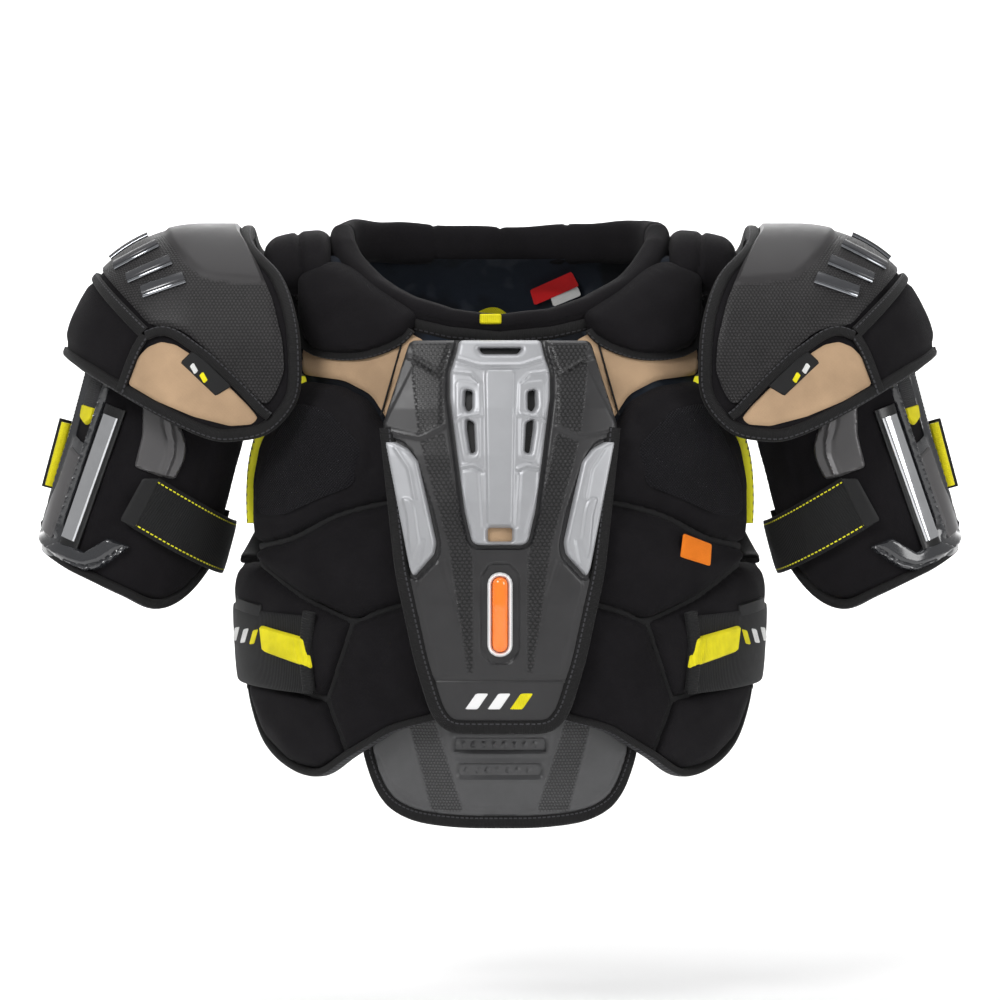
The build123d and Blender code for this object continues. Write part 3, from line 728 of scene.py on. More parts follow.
@dataclass(frozen=True)
class Backdrop:
    """Matt pale card with faint large patches."""

    name: str
    shade: float = 0.90
    patch: float = 0.93

    def make(self) -> bpy.types.Material:
        """The Blender material."""
        n = Nodes(self.name)
        blotch = n.noise(3.0, 2.0)
        n.colour(n.mix(blotch, rgba(*[self.shade] * 3), rgba(*[self.patch] * 3)))
        n.set(Roughness=0.9, Specular_IOR_Level=0.1)
        return n.material


FINISHES = {
    "knit": Cloth("knit", rgba(0.0062, 0.0054, 0.0066), Weave.PLAIN, 1.1, 0.0002, 0.02),
    "mesh_knit": Cloth("mesh_knit", rgba(0.0066, 0.0060, 0.0080), Weave.MESH, 3.2, 0.0016, 0.02, 0.65),
    "side_knit": Cloth("side_knit", rgba(0.0078, 0.0070, 0.0082), Weave.PLAIN, 1.2, 0.0002, 0.02),
    "tan": Cloth("tan", rgba(0.44, 0.30, 0.185), Weave.PLAIN, 0.9, 0.00015, 0.15, 0.9),
    "liner": Camouflage("liner"),
    "binding": Tape("binding", rgba(0.0070, 0.0066, 0.0070)),
    "piping": Tape("piping", rgba(0.010, 0.0098, 0.0104), 5.0, (), rib=0.9),
    "elastic": Tape(
        "elastic", rgba(0.0075, 0.0075, 0.0078), 40.0, (-16.5, 16.5), rgba(0.80, 0.76, 0.02), 3.0, 0.55, 1.6
    ),
    "plain_elastic": Tape("plain_elastic", rgba(0.0085, 0.0085, 0.009), 50.0, (), rib=1.8),
    "strap_web": Tape("strap_web", rgba(0.030, 0.030, 0.032), 17.0, (), rib=1.4),
    "yellow_web": Tape(
        "yellow_web", rgba(0.86, 0.76, 0.01), 27.0, (-10.0, 10.0), rgba(0.55, 0.48, 0.01), 3.0, 0.4, 1.4
    ),
    "yellow_mesh": Cloth("yellow_mesh", rgba(0.55, 0.50, 0.01), Weave.MESH, 2.6, 0.0006, 0.05),
    "shell": Plastic(
        "shell", rgba(0.027, 0.0255, 0.0265), 0.50, Emboss.HEX, 2.5, 0.0004, specular=0.3, masked=True
    ),
    "sternum": Plastic(
        "sternum", rgba(0.023, 0.0225, 0.0235), 0.38, Emboss.HEX, 2.8, 0.0005, specular=0.4, masked=True
    ),
    "belly": Plastic("belly", rgba(0.055, 0.055, 0.057), 0.40, Emboss.HEX, 2.4, 0.0004, masked=True),
    "smooth_black": Plastic("smooth_black", rgba(0.006, 0.006, 0.0065), 0.30),
    "rail": Plastic("rail", rgba(0.022, 0.023, 0.026), 0.17, coat=0.7, specular=0.6, wear=0.3),
    "grey_part": Plastic("grey_part", rgba(0.095, 0.092, 0.094), 0.34, metallic=0.3, wear=0.4),
    "silver": Plastic("silver", rgba(0.36, 0.365, 0.38), 0.42, metallic=0.35, wear=0.25),
    "emblem": Plastic("emblem", rgba(0.30, 0.31, 0.33), 0.12, metallic=0.95, wear=0.4),
    "emblem_face": Plastic("emblem_face", rgba(0.035, 0.036, 0.040), 0.22, coat=0.4, wear=0.4),
    "chrome": Plastic("chrome", rgba(0.70, 0.71, 0.73), 0.09, metallic=1.0, wear=0.5),
    "white": Plastic("white", rgba(0.80, 0.80, 0.80), 0.3, coat=0.3, wear=0.3),
    "orange": Plastic("orange", rgba(0.98, 0.21, 0.01), 0.14, coat=0.8, wear=0.2),
    "orange_cloth": Cloth("orange_cloth", rgba(0.90, 0.20, 0.015), Weave.PLAIN, 0.8, 0.0001, 0.08),
    "zigzag": ZigZagTrim("zigzag"),
    "red_cloth": Cloth("red_cloth", rgba(0.66, 0.018, 0.02), Weave.PLAIN, 0.6, 0.00008, 0.05, 0.5),
    "white_cloth": Cloth("white_cloth", rgba(0.72, 0.72, 0.71), Weave.PLAIN, 0.6, 0.00008, 0.05, 0.5),
    "tag": Plastic("tag", rgba(0.007, 0.007, 0.0075), 0.55, specular=0.3),
    "backdrop": Backdrop("backdrop"),
}
_made: dict[str, bpy.types.Material] = {}


def finish(name: str) -> bpy.types.Material:
    """The material of that name, made once."""
    if name not in _made:
        _made[name] = FINISHES[name].make()
    return _made[name]


# ------------------------------------------------------------------ making meshes
def to_object(
    name: str, places: np.ndarray, faces: list, look: str, flat: Optional[np.ndarray] = None,
    texture: Optional[np.ndarray] = None, crease: float = 40.0,
) -> bpy.types.Object:
    """A mesh object from places in millimetres.

    Args:
        name: the object's name.
        places: one place per vertex, in millimetres.
        faces: vertex numbers per face.
        look: the finish's name.
        flat: flat coordinates per vertex, kept as a UV map in millimetres.
        texture: how much of the finish's texture shows, per vertex.
        crease: faces that meet at less than this angle are shaded smooth, in degrees.

    Returns:
        The object, linked to the scene.
    """
    mesh = bpy.data.meshes.new(name)
    mesh.from_pydata([tuple(p) for p in places * MM], [], faces)
    mesh.validate()
    if flat is not None:
        layer = mesh.uv_layers.new(name="flat")
        loops = np.zeros(len(mesh.loops), int)
        mesh.loops.foreach_get("vertex_index", loops)
        layer.data.foreach_set("uv", flat[loops].astype(np.float32).ravel())
    if texture is not None:
        attribute = mesh.attributes.new("texture", "FLOAT", "POINT")
        attribute.data.foreach_set("value", texture.astype(np.float32))
    work = bmesh.new()
    work.from_mesh(mesh)
    bmesh.ops.recalc_face_normals(work, faces=work.faces)
    work.to_mesh(mesh)
    work.free()
    mesh.shade_smooth()
    mesh.set_sharp_from_angle(angle=math.radians(crease))
    mesh.materials.append(finish(look))
    obj = bpy.data.objects.new(name, mesh)
    bpy.context.scene.collection.objects.link(obj)
    return obj


def tube_faces(count: int, ring: int, closed: bool) -> list[tuple[int, ...]]:
    """The faces of a tube.

    Args:
        count: how many rings of vertices it has.
        ring: vertices per ring.
        closed: whether the last ring joins the first; if not, both ends get a cap.

    Returns:
        Vertex numbers per face.
    """
    faces = []
    for i in range(count if closed else count - 1):
        j = (i + 1) % count
        for k in range(ring):
            m = (k + 1) % ring
            faces.append((i * ring + k, i * ring + m, j * ring + m, j * ring + k))
    if not closed:
        faces.append(tuple(range(ring)))
        faces.append(tuple(reversed(range((count - 1) * ring, count * ring))))
    return faces


def mirrored(places: np.ndarray, side: str) -> np.ndarray:
    """Places on the wearer's left, or their mirror image for the right."""
    return places * np.array([SIDES[side], 1, 1])


Height = Callable[[np.ndarray, np.ndarray], np.ndarray]


@dataclass
class Panel:
    """A piece with an outline on a surface: a crowned pad, a moulded plate or a flat label."""

    name: str
    outline: Outline
    look: str
    bottom: float
    top: float
    surface: Surface = field(default_factory=lambda: FRONT)
    corner: float = 5.0
    step: float = 3.5
    edge: float = 6.0
    edge_share: float = 0.35
    relief: Optional[Height] = None
    texture: Optional[Height] = None
    holes: Sequence[Outline] = ()
    in_front: bool = True
    crease: float = 40.0

    def loops(self) -> list[np.ndarray]:
        """The outline and the holes in flat coordinates."""
        result = []
        for index, outline in enumerate([self.outline, *self.holes]):
            loop = rounded(outline, self.corner if index == 0 else min(self.corner, 1.5))
            loop = evenly(loop, self.step / 2)
            if self.in_front:
                loop = self.surface.from_front(loop)
            result.append(evenly(loop, self.step))
        return result

    def build(self, side: str = "left") -> bpy.types.Object:
        """Makes the piece.

        Args:
            side: left, or right for its mirror image.

        Returns:
            The piece's object.
        """
        loops = self.loops()
        outer = loops[0]
        low, high = outer.min(axis=0), outer.max(axis=0)
        row = self.step * 0.866
        grid = []
        for j, v in enumerate(np.arange(low[1] + row * 0.6, high[1], row)):
            offset = self.step / 2 if j % 2 else 0
            for u in np.arange(low[0] + self.step * 0.3 + offset, high[0], self.step):
                grid.append((u, v))
        grid = np.array(grid)
        keep = inside(grid, outer)
        away = reach(grid, outer)
        for hole in loops[1:]:
            keep &= ~inside(grid, hole)
            away = np.minimum(away, reach(grid, hole))
        grid = grid[keep & (away > self.step * 0.55)]
        border = np.vstack(loops)
        edges = []
        start = 0
        for loop in loops:
            count = len(loop)
            edges += [(start + i, start + (i + 1) % count) for i in range(count)]
            start += count
        if self.edge < 2.5 * self.step:
            ring = inset(outer, self.edge)
            clear = inside(ring, outer) & (reach(ring, outer) > 0.97 * self.edge)
            for hole in loops[1:]:
                clear &= reach(ring, hole) > 0.5 * self.step
            count = len(ring)
            edges += [
                (start + i, start + (i + 1) % count)
                for i in range(count)
                if clear[i] and clear[(i + 1) % count]
            ]
            border = np.vstack([border, np.where(clear[:, None], ring, outer)])
            away = reach(grid, outer)
            grid = grid[np.abs(away - self.edge) > 0.4 * self.step]
        points = np.vstack([border, grid])
        found = delaunay_2d_cdt([Vector(p) for p in points], edges, [], 0, 1e-5)
        flat = np.array([tuple(p) for p in found[0]])
        triangles = np.array([f for f in found[2] if len(f) == 3])
        middles = flat[triangles].mean(axis=1)
        keep = inside(middles, outer)
        for hole in loops[1:]:
            keep &= ~inside(middles, hole)
        triangles = triangles[keep]
        away = reach(flat, outer)
        for hole in loops[1:]:
            away = np.minimum(away, reach(flat, hole))
        rise = np.sqrt(np.clip(1 - (1 - np.clip(away / self.edge, 0, 1)) ** 2, 0, 1))
        rise = self.edge_share + (1 - self.edge_share) * rise
        thickness = self.top - self.bottom
        lift = self.bottom + thickness * rise
        if self.relief is not None:
            lift = lift + self.relief(flat, away) * np.clip(away, 0, 1)
        back = np.full(len(flat), self.bottom)
        count = len(flat)
        places = np.vstack([self.surface.at(flat, lift), self.surface.at(flat, back)])
        faces = [tuple(t) for t in triangles]
        faces += [(t[2] + count, t[1] + count, t[0] + count) for t in triangles]
        sides: dict[tuple[int, int], tuple[int, int]] = {}
        for t in triangles:
            for a, b in ((t[0], t[1]), (t[1], t[2]), (t[2], t[0])):
                key = (min(a, b), max(a, b))
                if key in sides:
                    sides[key] = None
                else:
                    sides[key] = (a, b)
        for pair in sides.values():
            if pair is not None:
                a, b = pair
                faces.append((b, a, a + count, b + count))
        texture = None
        if self.texture is not None:
            texture = np.tile(self.texture(flat, away), 2)
        return to_object(
            self.name, mirrored(places, side), faces, self.look, np.vstack([flat, flat]), texture,
            self.crease,
        )


@dataclass
class Ribbon:
    """A tape, band or cord laid along a path on a surface, with a rounded cross-section."""

    name: str
    path: Outline
    look: str
    bottom: float
    top: float
    width: float
    surface: Surface = field(default_factory=lambda: FRONT)
    closed: bool = False
    smooth: bool = False
    corner: float = 4.0
    step: float = 2.5
    in_front: bool = True
    across: int = 8
    bulge: float = 1.0

    def build(self, side: str = "left") -> bpy.types.Object:
        """Makes the band.

        Args:
            side: left, or right for its mirror image.

        Returns:
            The piece's object.
        """
        if self.smooth:
            line = smooth_line(self.path, self.step / 2, self.closed)
        elif self.closed:
            line = evenly(rounded(self.path, self.corner), self.step / 2)
        else:
            line = rounded_path(self.path, self.corner)
        if self.in_front:
            line = self.surface.from_front(evenly(line, self.step / 2, self.closed))
        line = evenly(line, self.step, self.closed)
        if self.closed:
            ahead = np.roll(line, -1, axis=0) - np.roll(line, 1, axis=0)
        else:
            ahead = np.gradient(line, axis=0)
        ahead /= np.maximum(np.linalg.norm(ahead, axis=1), 1e-9)[:, None]
        normal = np.column_stack([-ahead[:, 1], ahead[:, 0]])
        steps = np.linalg.norm(np.diff(line, axis=0), axis=1)
        along = np.r_[0, np.cumsum(steps)]
        count, ring = len(line), 2 * self.across
        places, flats = [], []
        for k in range(ring):
            angle = 2 * math.pi * k / ring
            offset = 0.5 * self.width * math.copysign(abs(math.cos(angle)) ** 0.6, math.cos(angle))
            up = math.copysign(abs(math.sin(angle)) ** 0.8, math.sin(angle)) * self.bulge
            share = 0.5 + 0.5 * max(up, -1.0)
            grow = self.bottom + (self.top - self.bottom) * share
            flat = line + normal * offset
            places.append(self.surface.at(flat, np.full(count, grow)))
            flats.append(np.column_stack([along, np.full(count, offset)]))
        places = np.stack(places, axis=1).reshape(-1, 3)
        flats = np.stack(flats, axis=1).reshape(-1, 2)
        faces = tube_faces(count, ring, self.closed)
        return to_object(self.name, mirrored(places, side), faces, self.look, flats, crease=50)


@dataclass
class Relief:
    """Raised and sunk detail on a piece, drawn on the same surface.

    lines are (points, height, half width) and fields are (outline, height, bevel).
    """

    surface: Surface = field(default_factory=lambda: FRONT)
    crown: float = 0.0
    crown_reach: float = 28.0
    lines: Sequence = ()
    fields: Sequence = ()
    ripple: float = 0.0
    in_front: bool = True

    def _flat(self, points: np.ndarray) -> np.ndarray:
        """Points in the surface's flat coordinates."""
        return self.surface.from_front(points) if self.in_front else points

    def __call__(self, flat: np.ndarray, away: np.ndarray) -> np.ndarray:
        """How high the detail stands.

        Args:
            flat: flat coordinates of the vertices.
            away: how far each one is from the piece's edge.

        Returns:
            The height at each vertex, in millimetres.
        """
        total = self.crown * ease(away, 0, self.crown_reach)
        for points, height, width in self.lines:
            line = self._flat(evenly(np.array(points, float), 3.0, closed=False))
            total = total + height * np.exp(-((reach(flat, line, False) / width) ** 2))
        for outline, height, bevel in self.fields:
            loop = self._flat(evenly(rounded(outline, 3.0), 2.0))
            total = total + height * ease(signed_reach(flat, loop), -bevel / 2, bevel / 2)
        if self.ripple:
            u, v = flat[:, 0], flat[:, 1]
            waves = np.sin(u * 0.13 + 1.3 * np.sin(v * 0.07)) + np.sin(v * 0.17 + 1.1 * np.sin(u * 0.09))
            total = total + self.ripple * waves * ease(away, 0, 14)
        return total


@dataclass
class Patches:
    """Where a finish's texture shows: 1 inside the outlines and 0 outside."""

    outlines: Sequence
    surface: Surface = field(default_factory=lambda: FRONT)
    in_front: bool = True

    def __call__(self, flat: np.ndarray, away: np.ndarray) -> np.ndarray:
        """How much texture shows at each flat point, whatever its distance from the edge."""
        total = np.zeros(len(flat))
        for outline in self.outlines:
            loop = np.array(outline, float)
            if self.in_front:
                loop = self.surface.from_front(evenly(loop, 3.0))
            total = np.maximum(total, ease(signed_reach(flat, loop), -0.7, 0.7))
        return total


def both(half: Outline) -> list[Point]:
    """A symmetric outline from its half at +X, listed from the top down."""
    return [*half, *beside(list(half)[::-1], -1)]


def beside(points: Outline, turn: int) -> list[Point]:
    """Points drawn at +X, left there for a turn of 1 and mirrored to -X for a turn of -1."""
    return [(turn * x, z) for x, z in points]


def inset(outline: Outline, distance: float) -> np.ndarray:
    """An outline moved inwards.

    Args:
        outline: its corner points, in millimetres.
        distance: how far each side moves; a negative one moves it outwards.

    Returns:
        As many corner points, in the same order.
    """
    loop = np.array(outline, float)
    area = 0.5 * np.sum(loop[:, 0] * np.roll(loop[:, 1], -1) - np.roll(loop[:, 0], -1) * loop[:, 1])
    turn = 1 if area > 0 else -1
    result = []
    for i in range(len(loop)):
        a, b, c = loop[i - 1], loop[i], loop[(i + 1) % len(loop)]
        first = (b - a) / np.linalg.norm(b - a)
        second = (c - b) / np.linalg.norm(c - b)
        n1 = turn * np.array([-first[1], first[0]])
        n2 = turn * np.array([-second[1], second[0]])
        middle = n1 + n2
        result.append(b + middle * distance / max(0.35, 0.5 * (middle @ middle)))
    return np.array(result)


class Assembly:
    """A group of pieces that ride on one body of the frame."""

    body = ""

    def place(
        self, obj: bpy.types.Object, *nodes: str, slot: Optional[str] = None,
        body: Optional[str] = None, fill: Optional[float] = None,
    ) -> bpy.types.Object:
        """Puts a piece on its body and hides the CAD nodes that it stands for.

        Args:
            obj: the piece.
            nodes: the CAD nodes that it replaces.
            slot: a material slot's name; not used.
            body: the body, if not the assembly's own.
            fill: how full it is, for a padded piece; not used.

        Returns:
            The piece.
        """
        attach(obj, body or self.body)
        if nodes:
            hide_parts(*nodes)
        return obj


# ------------------------------------------------------------------ the vest
STERNUM_HALF = [(60, -10), (76, -70), (66, -168), (54, -228), (44, -264), (34, -278)]


@dataclass
class ChestPads(Assembly):
    """The chest, rib and hip pads on the vest's front, with piping along their seams."""

    body = "vest"
    foam: tuple = (2.8, 14.6)
    crown: float = 3.2
    upper_seam: tuple = ((58, -118), (78, -122), (96, -126), (114, -132), (142, -147), (168, -154))
    lower_seam: tuple = ((52, -186), (66, -191), (84, -197), (100, -203), (135, -188), (167, -166))
    hip_seam: tuple = ((173, -245), (150, -250), (118, -258))
    upper_rim: tuple = (
        (63, -82), (81, -70), (92, -52), (112, -42), (140, -38), (150, -50), (165, -80),
        (170, -108), (169.5, -138),
    )
    plateau: tuple = (
        (86, -84), (98, -66), (112, -55), (134, -50), (144, -62), (154, -84), (162, -110), (163, -135),
        (141, -134), (114, -121), (92, -112),
    )

    def build(self) -> None:
        """Makes every pad on both sides."""
        low, high = self.foam
        rib = [*self.lower_seam[3:], (180, -165), (185, -180), (185, -195), (177, -235), *self.hip_seam]
        hip = [(104, -296), *reversed(self.hip_seam), (171, -265), (161, -290), (144, -305), (124, -309)]
        lower = [
            *self.lower_seam[:4], (118, -258), (104, -296), (71, -276), (42, -267), (44, -240),
        ]
        middle = [*self.upper_seam, *reversed(self.lower_seam)]
        upper = [*self.upper_rim, *reversed(self.upper_seam)]
        pads = {
            "upper_chest_pad": (upper, "knit", Relief(
                crown=self.crown, crown_reach=24,
                fields=((self.plateau, 2.2, 7.0),),
                lines=((((82, -96), (96, -108), (120, -118), (141, -130)), -1.2, 2.0),),
                ripple=0.25,
            )),
            "mid_chest_pad": (middle, "knit", Relief(
                crown=self.crown + 1.5, crown_reach=26, ripple=0.35,
                lines=((((72, -134), (100, -141), (128, -156)), -0.9, 2.2),),
            )),
            "lower_chest_pad": (lower, "knit", Relief(
                crown=self.crown, crown_reach=26, ripple=0.3,
                lines=((((74, -201), (98, -213), (112, -256)), -1.0, 2.0),),
            )),
            "rib_pad": (rib, "side_knit", Relief(crown=self.crown + 0.5, crown_reach=22, ripple=0.3)),
            "hip_pad": (hip, "side_knit", Relief(crown=self.crown, crown_reach=20, ripple=0.3)),
        }
        for side in SIDES:
            for name, (outline, look, relief) in pads.items():
                panel = Panel(
                    f"{side}_{name}_cover", inset(outline, 0.3), look, low, high, relief=relief,
                    edge=9.0, edge_share=0.25, step=3.0, corner=5.0,
                )
                self.place(panel.build(side), f"{side}_{name}", slot="knit", fill=0.9)
            mesh = Panel(
                f"{side}_upper_chest_mesh", inset(self.plateau, 3.0), "mesh_knit", high + 4.6, high + 6.0,
                relief=Relief(crown=0.8, crown_reach=20, ripple=0.25), edge=4.0, edge_share=0.05, step=3.0,
            )
            self.place(mesh.build(side), slot="knit")
            seams = {
                "upper": self.upper_seam,
                "lower": self.lower_seam,
                "rib": ((100, -203), (109, -230), (118, -258)),
                "hip": self.hip_seam,
                "groin": ((118, -258), (112, -276), (104, -296)),
            }
            for name, path in seams.items():
                ribbon = Ribbon(f"{side}_{name}_seam", path, "piping", 6.0, 9.5, 5.0, smooth=True)
                self.place(ribbon.build(side), slot="binding")
            hem = (
                (40, -266), (71, -275), (88, -285), (104, -295.5), (124, -309), (144, -305),
                (161, -290), (171, -266), (176, -240),
            )
            ribbon = Ribbon(f"{side}_hem_binding", hem, "binding", 1.5, 14.0, 6.0, smooth=True)
            self.place(ribbon.build(side), slot="binding")
            trim = (
                (139, -36.5), (150, -48), (160, -64), (167.5, -80), (172, -98), (173.5, -118), (173, -138),
            )
            ribbon = Ribbon(
                f"{side}_armhole_trim", trim, "zigzag", 3.0, 14.5, 8.5, smooth=True, bulge=0.9
            )
            self.place(ribbon.build(side), slot="yellow_web")
        self._orange_tab()

    def _orange_tab(self) -> None:
        """The small orange tab sewn on the wearer's left mid chest pad."""
        outline = ((119, -143), (138, -151), (137, -166), (117, -159))
        tab = Panel("orange_tab", outline, "orange_cloth", 18.6, 20.0, corner=1.0, step=1.5, edge=1.2,
                    edge_share=0.5)
        self.place(tab.build(), slot="orange_plastic")


@dataclass
class Yoke(Assembly):
    """Tan stretch panels, clavicle pads and shoulder pads round the collar."""

    body = "vest"

    def build(self) -> None:
        """Makes both sides."""
        tan = [
            (52, -12), (98, 12), (140, 10), (142, -34), (111, -38), (91, -48), (79, -66), (61, -78),
        ]
        clavicle = [
            (58, 8), (63, -6), (80, -15.5), (100, -21), (118, -20), (132, -16), (138, -3), (140, 34),
            (132, 42), (118, 46), (104, 40), (86, 26),
        ]
        for side in SIDES:
            panel = Panel(
                f"{side}_yoke_cloth", tan, "tan", 2.8, 6.0, edge=4, step=3.0,
                relief=Relief(ripple=0.35, lines=((((70, -14), (76, -40), (83, -62)), -0.9, 1.4),)),
            )
            self.place(panel.build(side), f"{side}_yoke_panel", slot="tan")
            seam = Ribbon(
                f"{side}_yoke_seam", ((69, -14), (76, -39), (82.5, -62)), "piping", 5.8, 7.4, 1.1, across=4
            )
            self.place(seam.build(side), slot="binding")
            panel = Panel(
                f"{side}_clavicle_cover", clavicle, "knit", 5.3, 14.3, edge=9, edge_share=0.2, step=3.0,
                relief=Relief(crown=2.5, crown_reach=18, ripple=0.3),
            )
            self.place(panel.build(side), f"{side}_clavicle_pad", slot="knit", fill=0.85)
            rim = (
                (62, -3), (70, -11), (84, -17.5), (100, -21), (118, -20.5), (132, -16.5), (138, -8),
                (140, 30),
            )
            ribbon = Ribbon(f"{side}_clavicle_binding", rim, "binding", 4.5, 9.5, 6.5, smooth=True)
            self.place(ribbon.build(side), slot="binding")
            self._shoulder_pad(side)

    def _shoulder_pad(self, side: str) -> None:
        """Makes the pad over the top of the shoulder: an arch from front to back with one crease.

        Args:
            side: left or right.
        """
        inner, outer, top = 119.0, 168.0, 57.5
        front_fall, back_fall = 37.0, 30.0
        swell, crease_depth, rim_reach = 10.8, 2.4, 11
        columns, rows = 26, 60
        places, flats = [], []
        for layer in (0, 1):
            for j in range(rows + 1):
                t = 2 * j / rows - 1
                angle = t * math.radians(88)
                for i in range(columns + 1):
                    s = i / columns
                    x = inner + (outer - inner) * s
                    deep = (40 - 10 * s) if t < 0 else (50 - 8 * s)
                    fall = front_fall if t < 0 else back_fall
                    rim = min(min(s, 1 - s) * (outer - inner), (1 - abs(t)) * 55)
                    puff = math.sqrt(max(0.0, 1 - (1 - min(rim / rim_reach, 1)) ** 2))
                    crease = math.exp(-(((s - 0.50 - 0.12 * t) * (outer - inner) / 1.8) ** 2))
                    lift = (1.0 + swell * puff - crease_depth * crease * puff) if layer else 0.0
                    y = (deep + lift) * math.sin(angle)
                    z = top - fall - 8.0 * s**2.4 + (fall + lift) * math.cos(angle) ** 0.75
                    places.append((x, y, z))
                    flats.append((x, t * 75))
        width = columns + 1
        size = width * (rows + 1)
        faces = []
        for j in range(rows):
            for i in range(columns):
                a = j * width + i
                faces.append((a, a + width, a + width + 1, a + 1))
                b = a + size
                faces.append((b, b + 1, b + width + 1, b + width))
        for j in range(rows):
            for i in (0, columns):
                a, b = j * width + i, (j + 1) * width + i
                faces.append((a, b, b + size, a + size) if i else (b, a, a + size, b + size))
        for i in range(columns):
            for j in (0, rows):
                a, b = j * width + i, j * width + i + 1
                faces.append((a, b, b + size, a + size) if not j else (b, a, a + size, b + size))
        obj = to_object(
            f"{side}_shoulder_cover", mirrored(np.array(places), side), faces, "knit", np.array(flats)
        )
        self.place(obj, f"{side}_shoulder_pad", slot="knit", fill=0.8)


@dataclass
class Collar(Assembly):
    """The padded collar: a thin rolled band in front and a thick roll behind."""

    body = "vest"
    inner: tuple = (103.0, 70.0)
    outer: tuple = (121.0, 87.5)
    turns: tuple = (0, 17, 32, 50, 62, 75, 90, 112, 140, 180)
    low: tuple = (-8.5, -5, 2, 17, 29, 39, 46, 47.5, 47.5, 47.5)
    high: tuple = (7.5, 11.5, 20, 35, 48, 62, 73, 78, 77.5, 75)
    seams: tuple = (96, 154, 180, 206, 264)

    def build(self) -> None:
        """Makes the collar, the throat loop, the label and the mesh patch."""
        count, ring = 300, 36
        places, flats = [], []
        for i in range(count):
            degrees = 360 * i / count
            folded = min(degrees, 360 - degrees)
            low = np.interp(folded, self.turns, self.low)
            high = np.interp(folded, self.turns, self.high)
            pinch = sum(math.exp(-((degrees - s) ** 2)) for s in self.seams)
            puff = 1 + 0.035 * math.sin(degrees * 0.21) - 0.10 * pinch
            phi = math.radians(degrees)
            for k in range(ring):
                angle = 2 * math.pi * k / ring
                c, s = math.cos(angle), math.sin(angle)
                p = 0.5 + 0.5 * math.copysign(abs(c) ** 0.75, c) * puff
                q = 0.5 + 0.5 * math.copysign(abs(s) ** 0.8, s) * puff
                rx = self.inner[0] + (self.outer[0] - self.inner[0]) * p
                ry = self.inner[1] + (self.outer[1] - self.inner[1]) * p
                places.append((rx * math.sin(phi), -ry * math.cos(phi), low + (high - low) * q))
                flats.append((phi * 95, k * 1.7))
        faces = tube_faces(count, ring, closed=True)
        roll = to_object("collar_cover", np.array(places), faces, "knit", np.array(flats))
        self.place(roll, "collar_roll", slot="knit", fill=0.8)
        self._rim()
        self._trim()

    def _rim(self) -> None:
        """The binding along the foot of the collar's front."""
        places, flats = [], []
        count, ring = 150, 10
        half_turn, half_depth, half_height = 84, 1.6, 4.6
        for i in range(count + 1):
            degrees = -half_turn + 2 * half_turn * i / count
            low = float(np.interp(abs(degrees), self.turns, self.low))
            phi = math.radians(degrees)
            for k in range(ring):
                angle = 2 * math.pi * k / ring
                p = half_depth * math.cos(angle)
                q = half_height * math.sin(angle)
                x, y = (self.outer[0] + p) * math.sin(phi), -(self.outer[1] + p) * math.cos(phi)
                places.append((x, y, low - 0.5 + q))
                flats.append((phi * 105, q))
        faces = tube_faces(count + 1, ring, closed=False)
        rim = to_object("collar_foot_binding", np.array(places), faces, "binding", np.array(flats))
        self.place(rim, slot="binding")

    def _trim(self) -> None:
        """The throat loop, the size label and the mesh patch inside the neck."""
        loop = Panel(
            "throat_loop", ((-14, 0.5), (1, 0.5), (1, 7.5), (-14, 7.5)), "yellow_web", -0.4, 1.4,
            surface=CollarFront(), corner=0.8, step=1.5, edge=1.0,
        )
        self.place(loop.build(), "collar_loop", slot="yellow_web")
        label = Panel(
            "size_label_cloth", ((24, 29), (58, 42), (63.5, 32), (27.5, 18)), "red_cloth", -3.4, -2.2,
            surface=BACK, corner=0.6, step=2.0, edge=0.8,
        )
        self.place(label.build(), "size_label", slot="label")
        strip = Panel(
            "size_strip_cloth", ((40, 24.5), (62, 31.5), (64.5, 25), (42.5, 17)), "white_cloth", -3.0, -1.9,
            surface=BACK, corner=0.6, step=2.0, edge=0.8,
        )
        self.place(strip.build(), slot="label")
        patch = Panel(
            "neck_mesh_patch",
            ((-25, 4), (-21, 11), (-12, 16), (-3, 17), (5, 13), (10, 6), (11, 0), (-26, 0)),
            "yellow_mesh", -3.0, -1.8, surface=BACK, corner=5, step=2.5, edge=1.0,
        )
        self.place(patch.build(), slot="yellow_web")


@dataclass(frozen=True)
class CollarFront(Surface):
    """The outside of the collar's front."""

    size: tuple = (121.0, 87.5)

    def from_front(self, points: np.ndarray) -> np.ndarray:
        """Flat coordinates of front-view points: the same ones; see Surface.from_front."""
        return np.asarray(points, float)

    def at(self, flat: np.ndarray, grow: np.ndarray) -> np.ndarray:
        """Places of flat points lifted by grow; see Surface.at."""
        phi = np.arcsin(np.clip(flat[:, 0] / self.size[0], -1, 1))
        return np.column_stack([flat[:, 0], -(self.size[1] + grow) * np.cos(phi), flat[:, 1]])


@dataclass
class Lining(Assembly):
    """The vest's base cloths: printed lining inside."""

    body = "vest"

    def build(self) -> None:
        """Makes the front and the back base."""
        front = [
            (1, -7), (33, -3), (60, 5), (84, 18), (100, 32), (108, 50), (146, 50), (150, -30),
            (146, -52), (163, -82), (172, -110), (173, -150), (178, -172), (174, -235), (166, -266),
            (142, -298), (124, -302), (106, -290), (70, -271), (40, -262),
        ]
        back = [
            (40, 51), (92, 52), (106, 50), (142, 50), (144, 0), (135, -40), (145, -92), (164, -141),
            (178, -168), (180, -200), (172, -258), (150, -279), (36, -288),
        ]
        for name, node, half, surface in (
            ("front_lining", "chest_base", front, FRONT), ("back_lining", "back_base", back, BACK),
        ):
            cloth = Panel(
                name, both(half), "liner", 0.0, 2.5, surface=surface, corner=6, edge=2, step=6.0
            )
            self.place(cloth.build(), node, slot="liner")


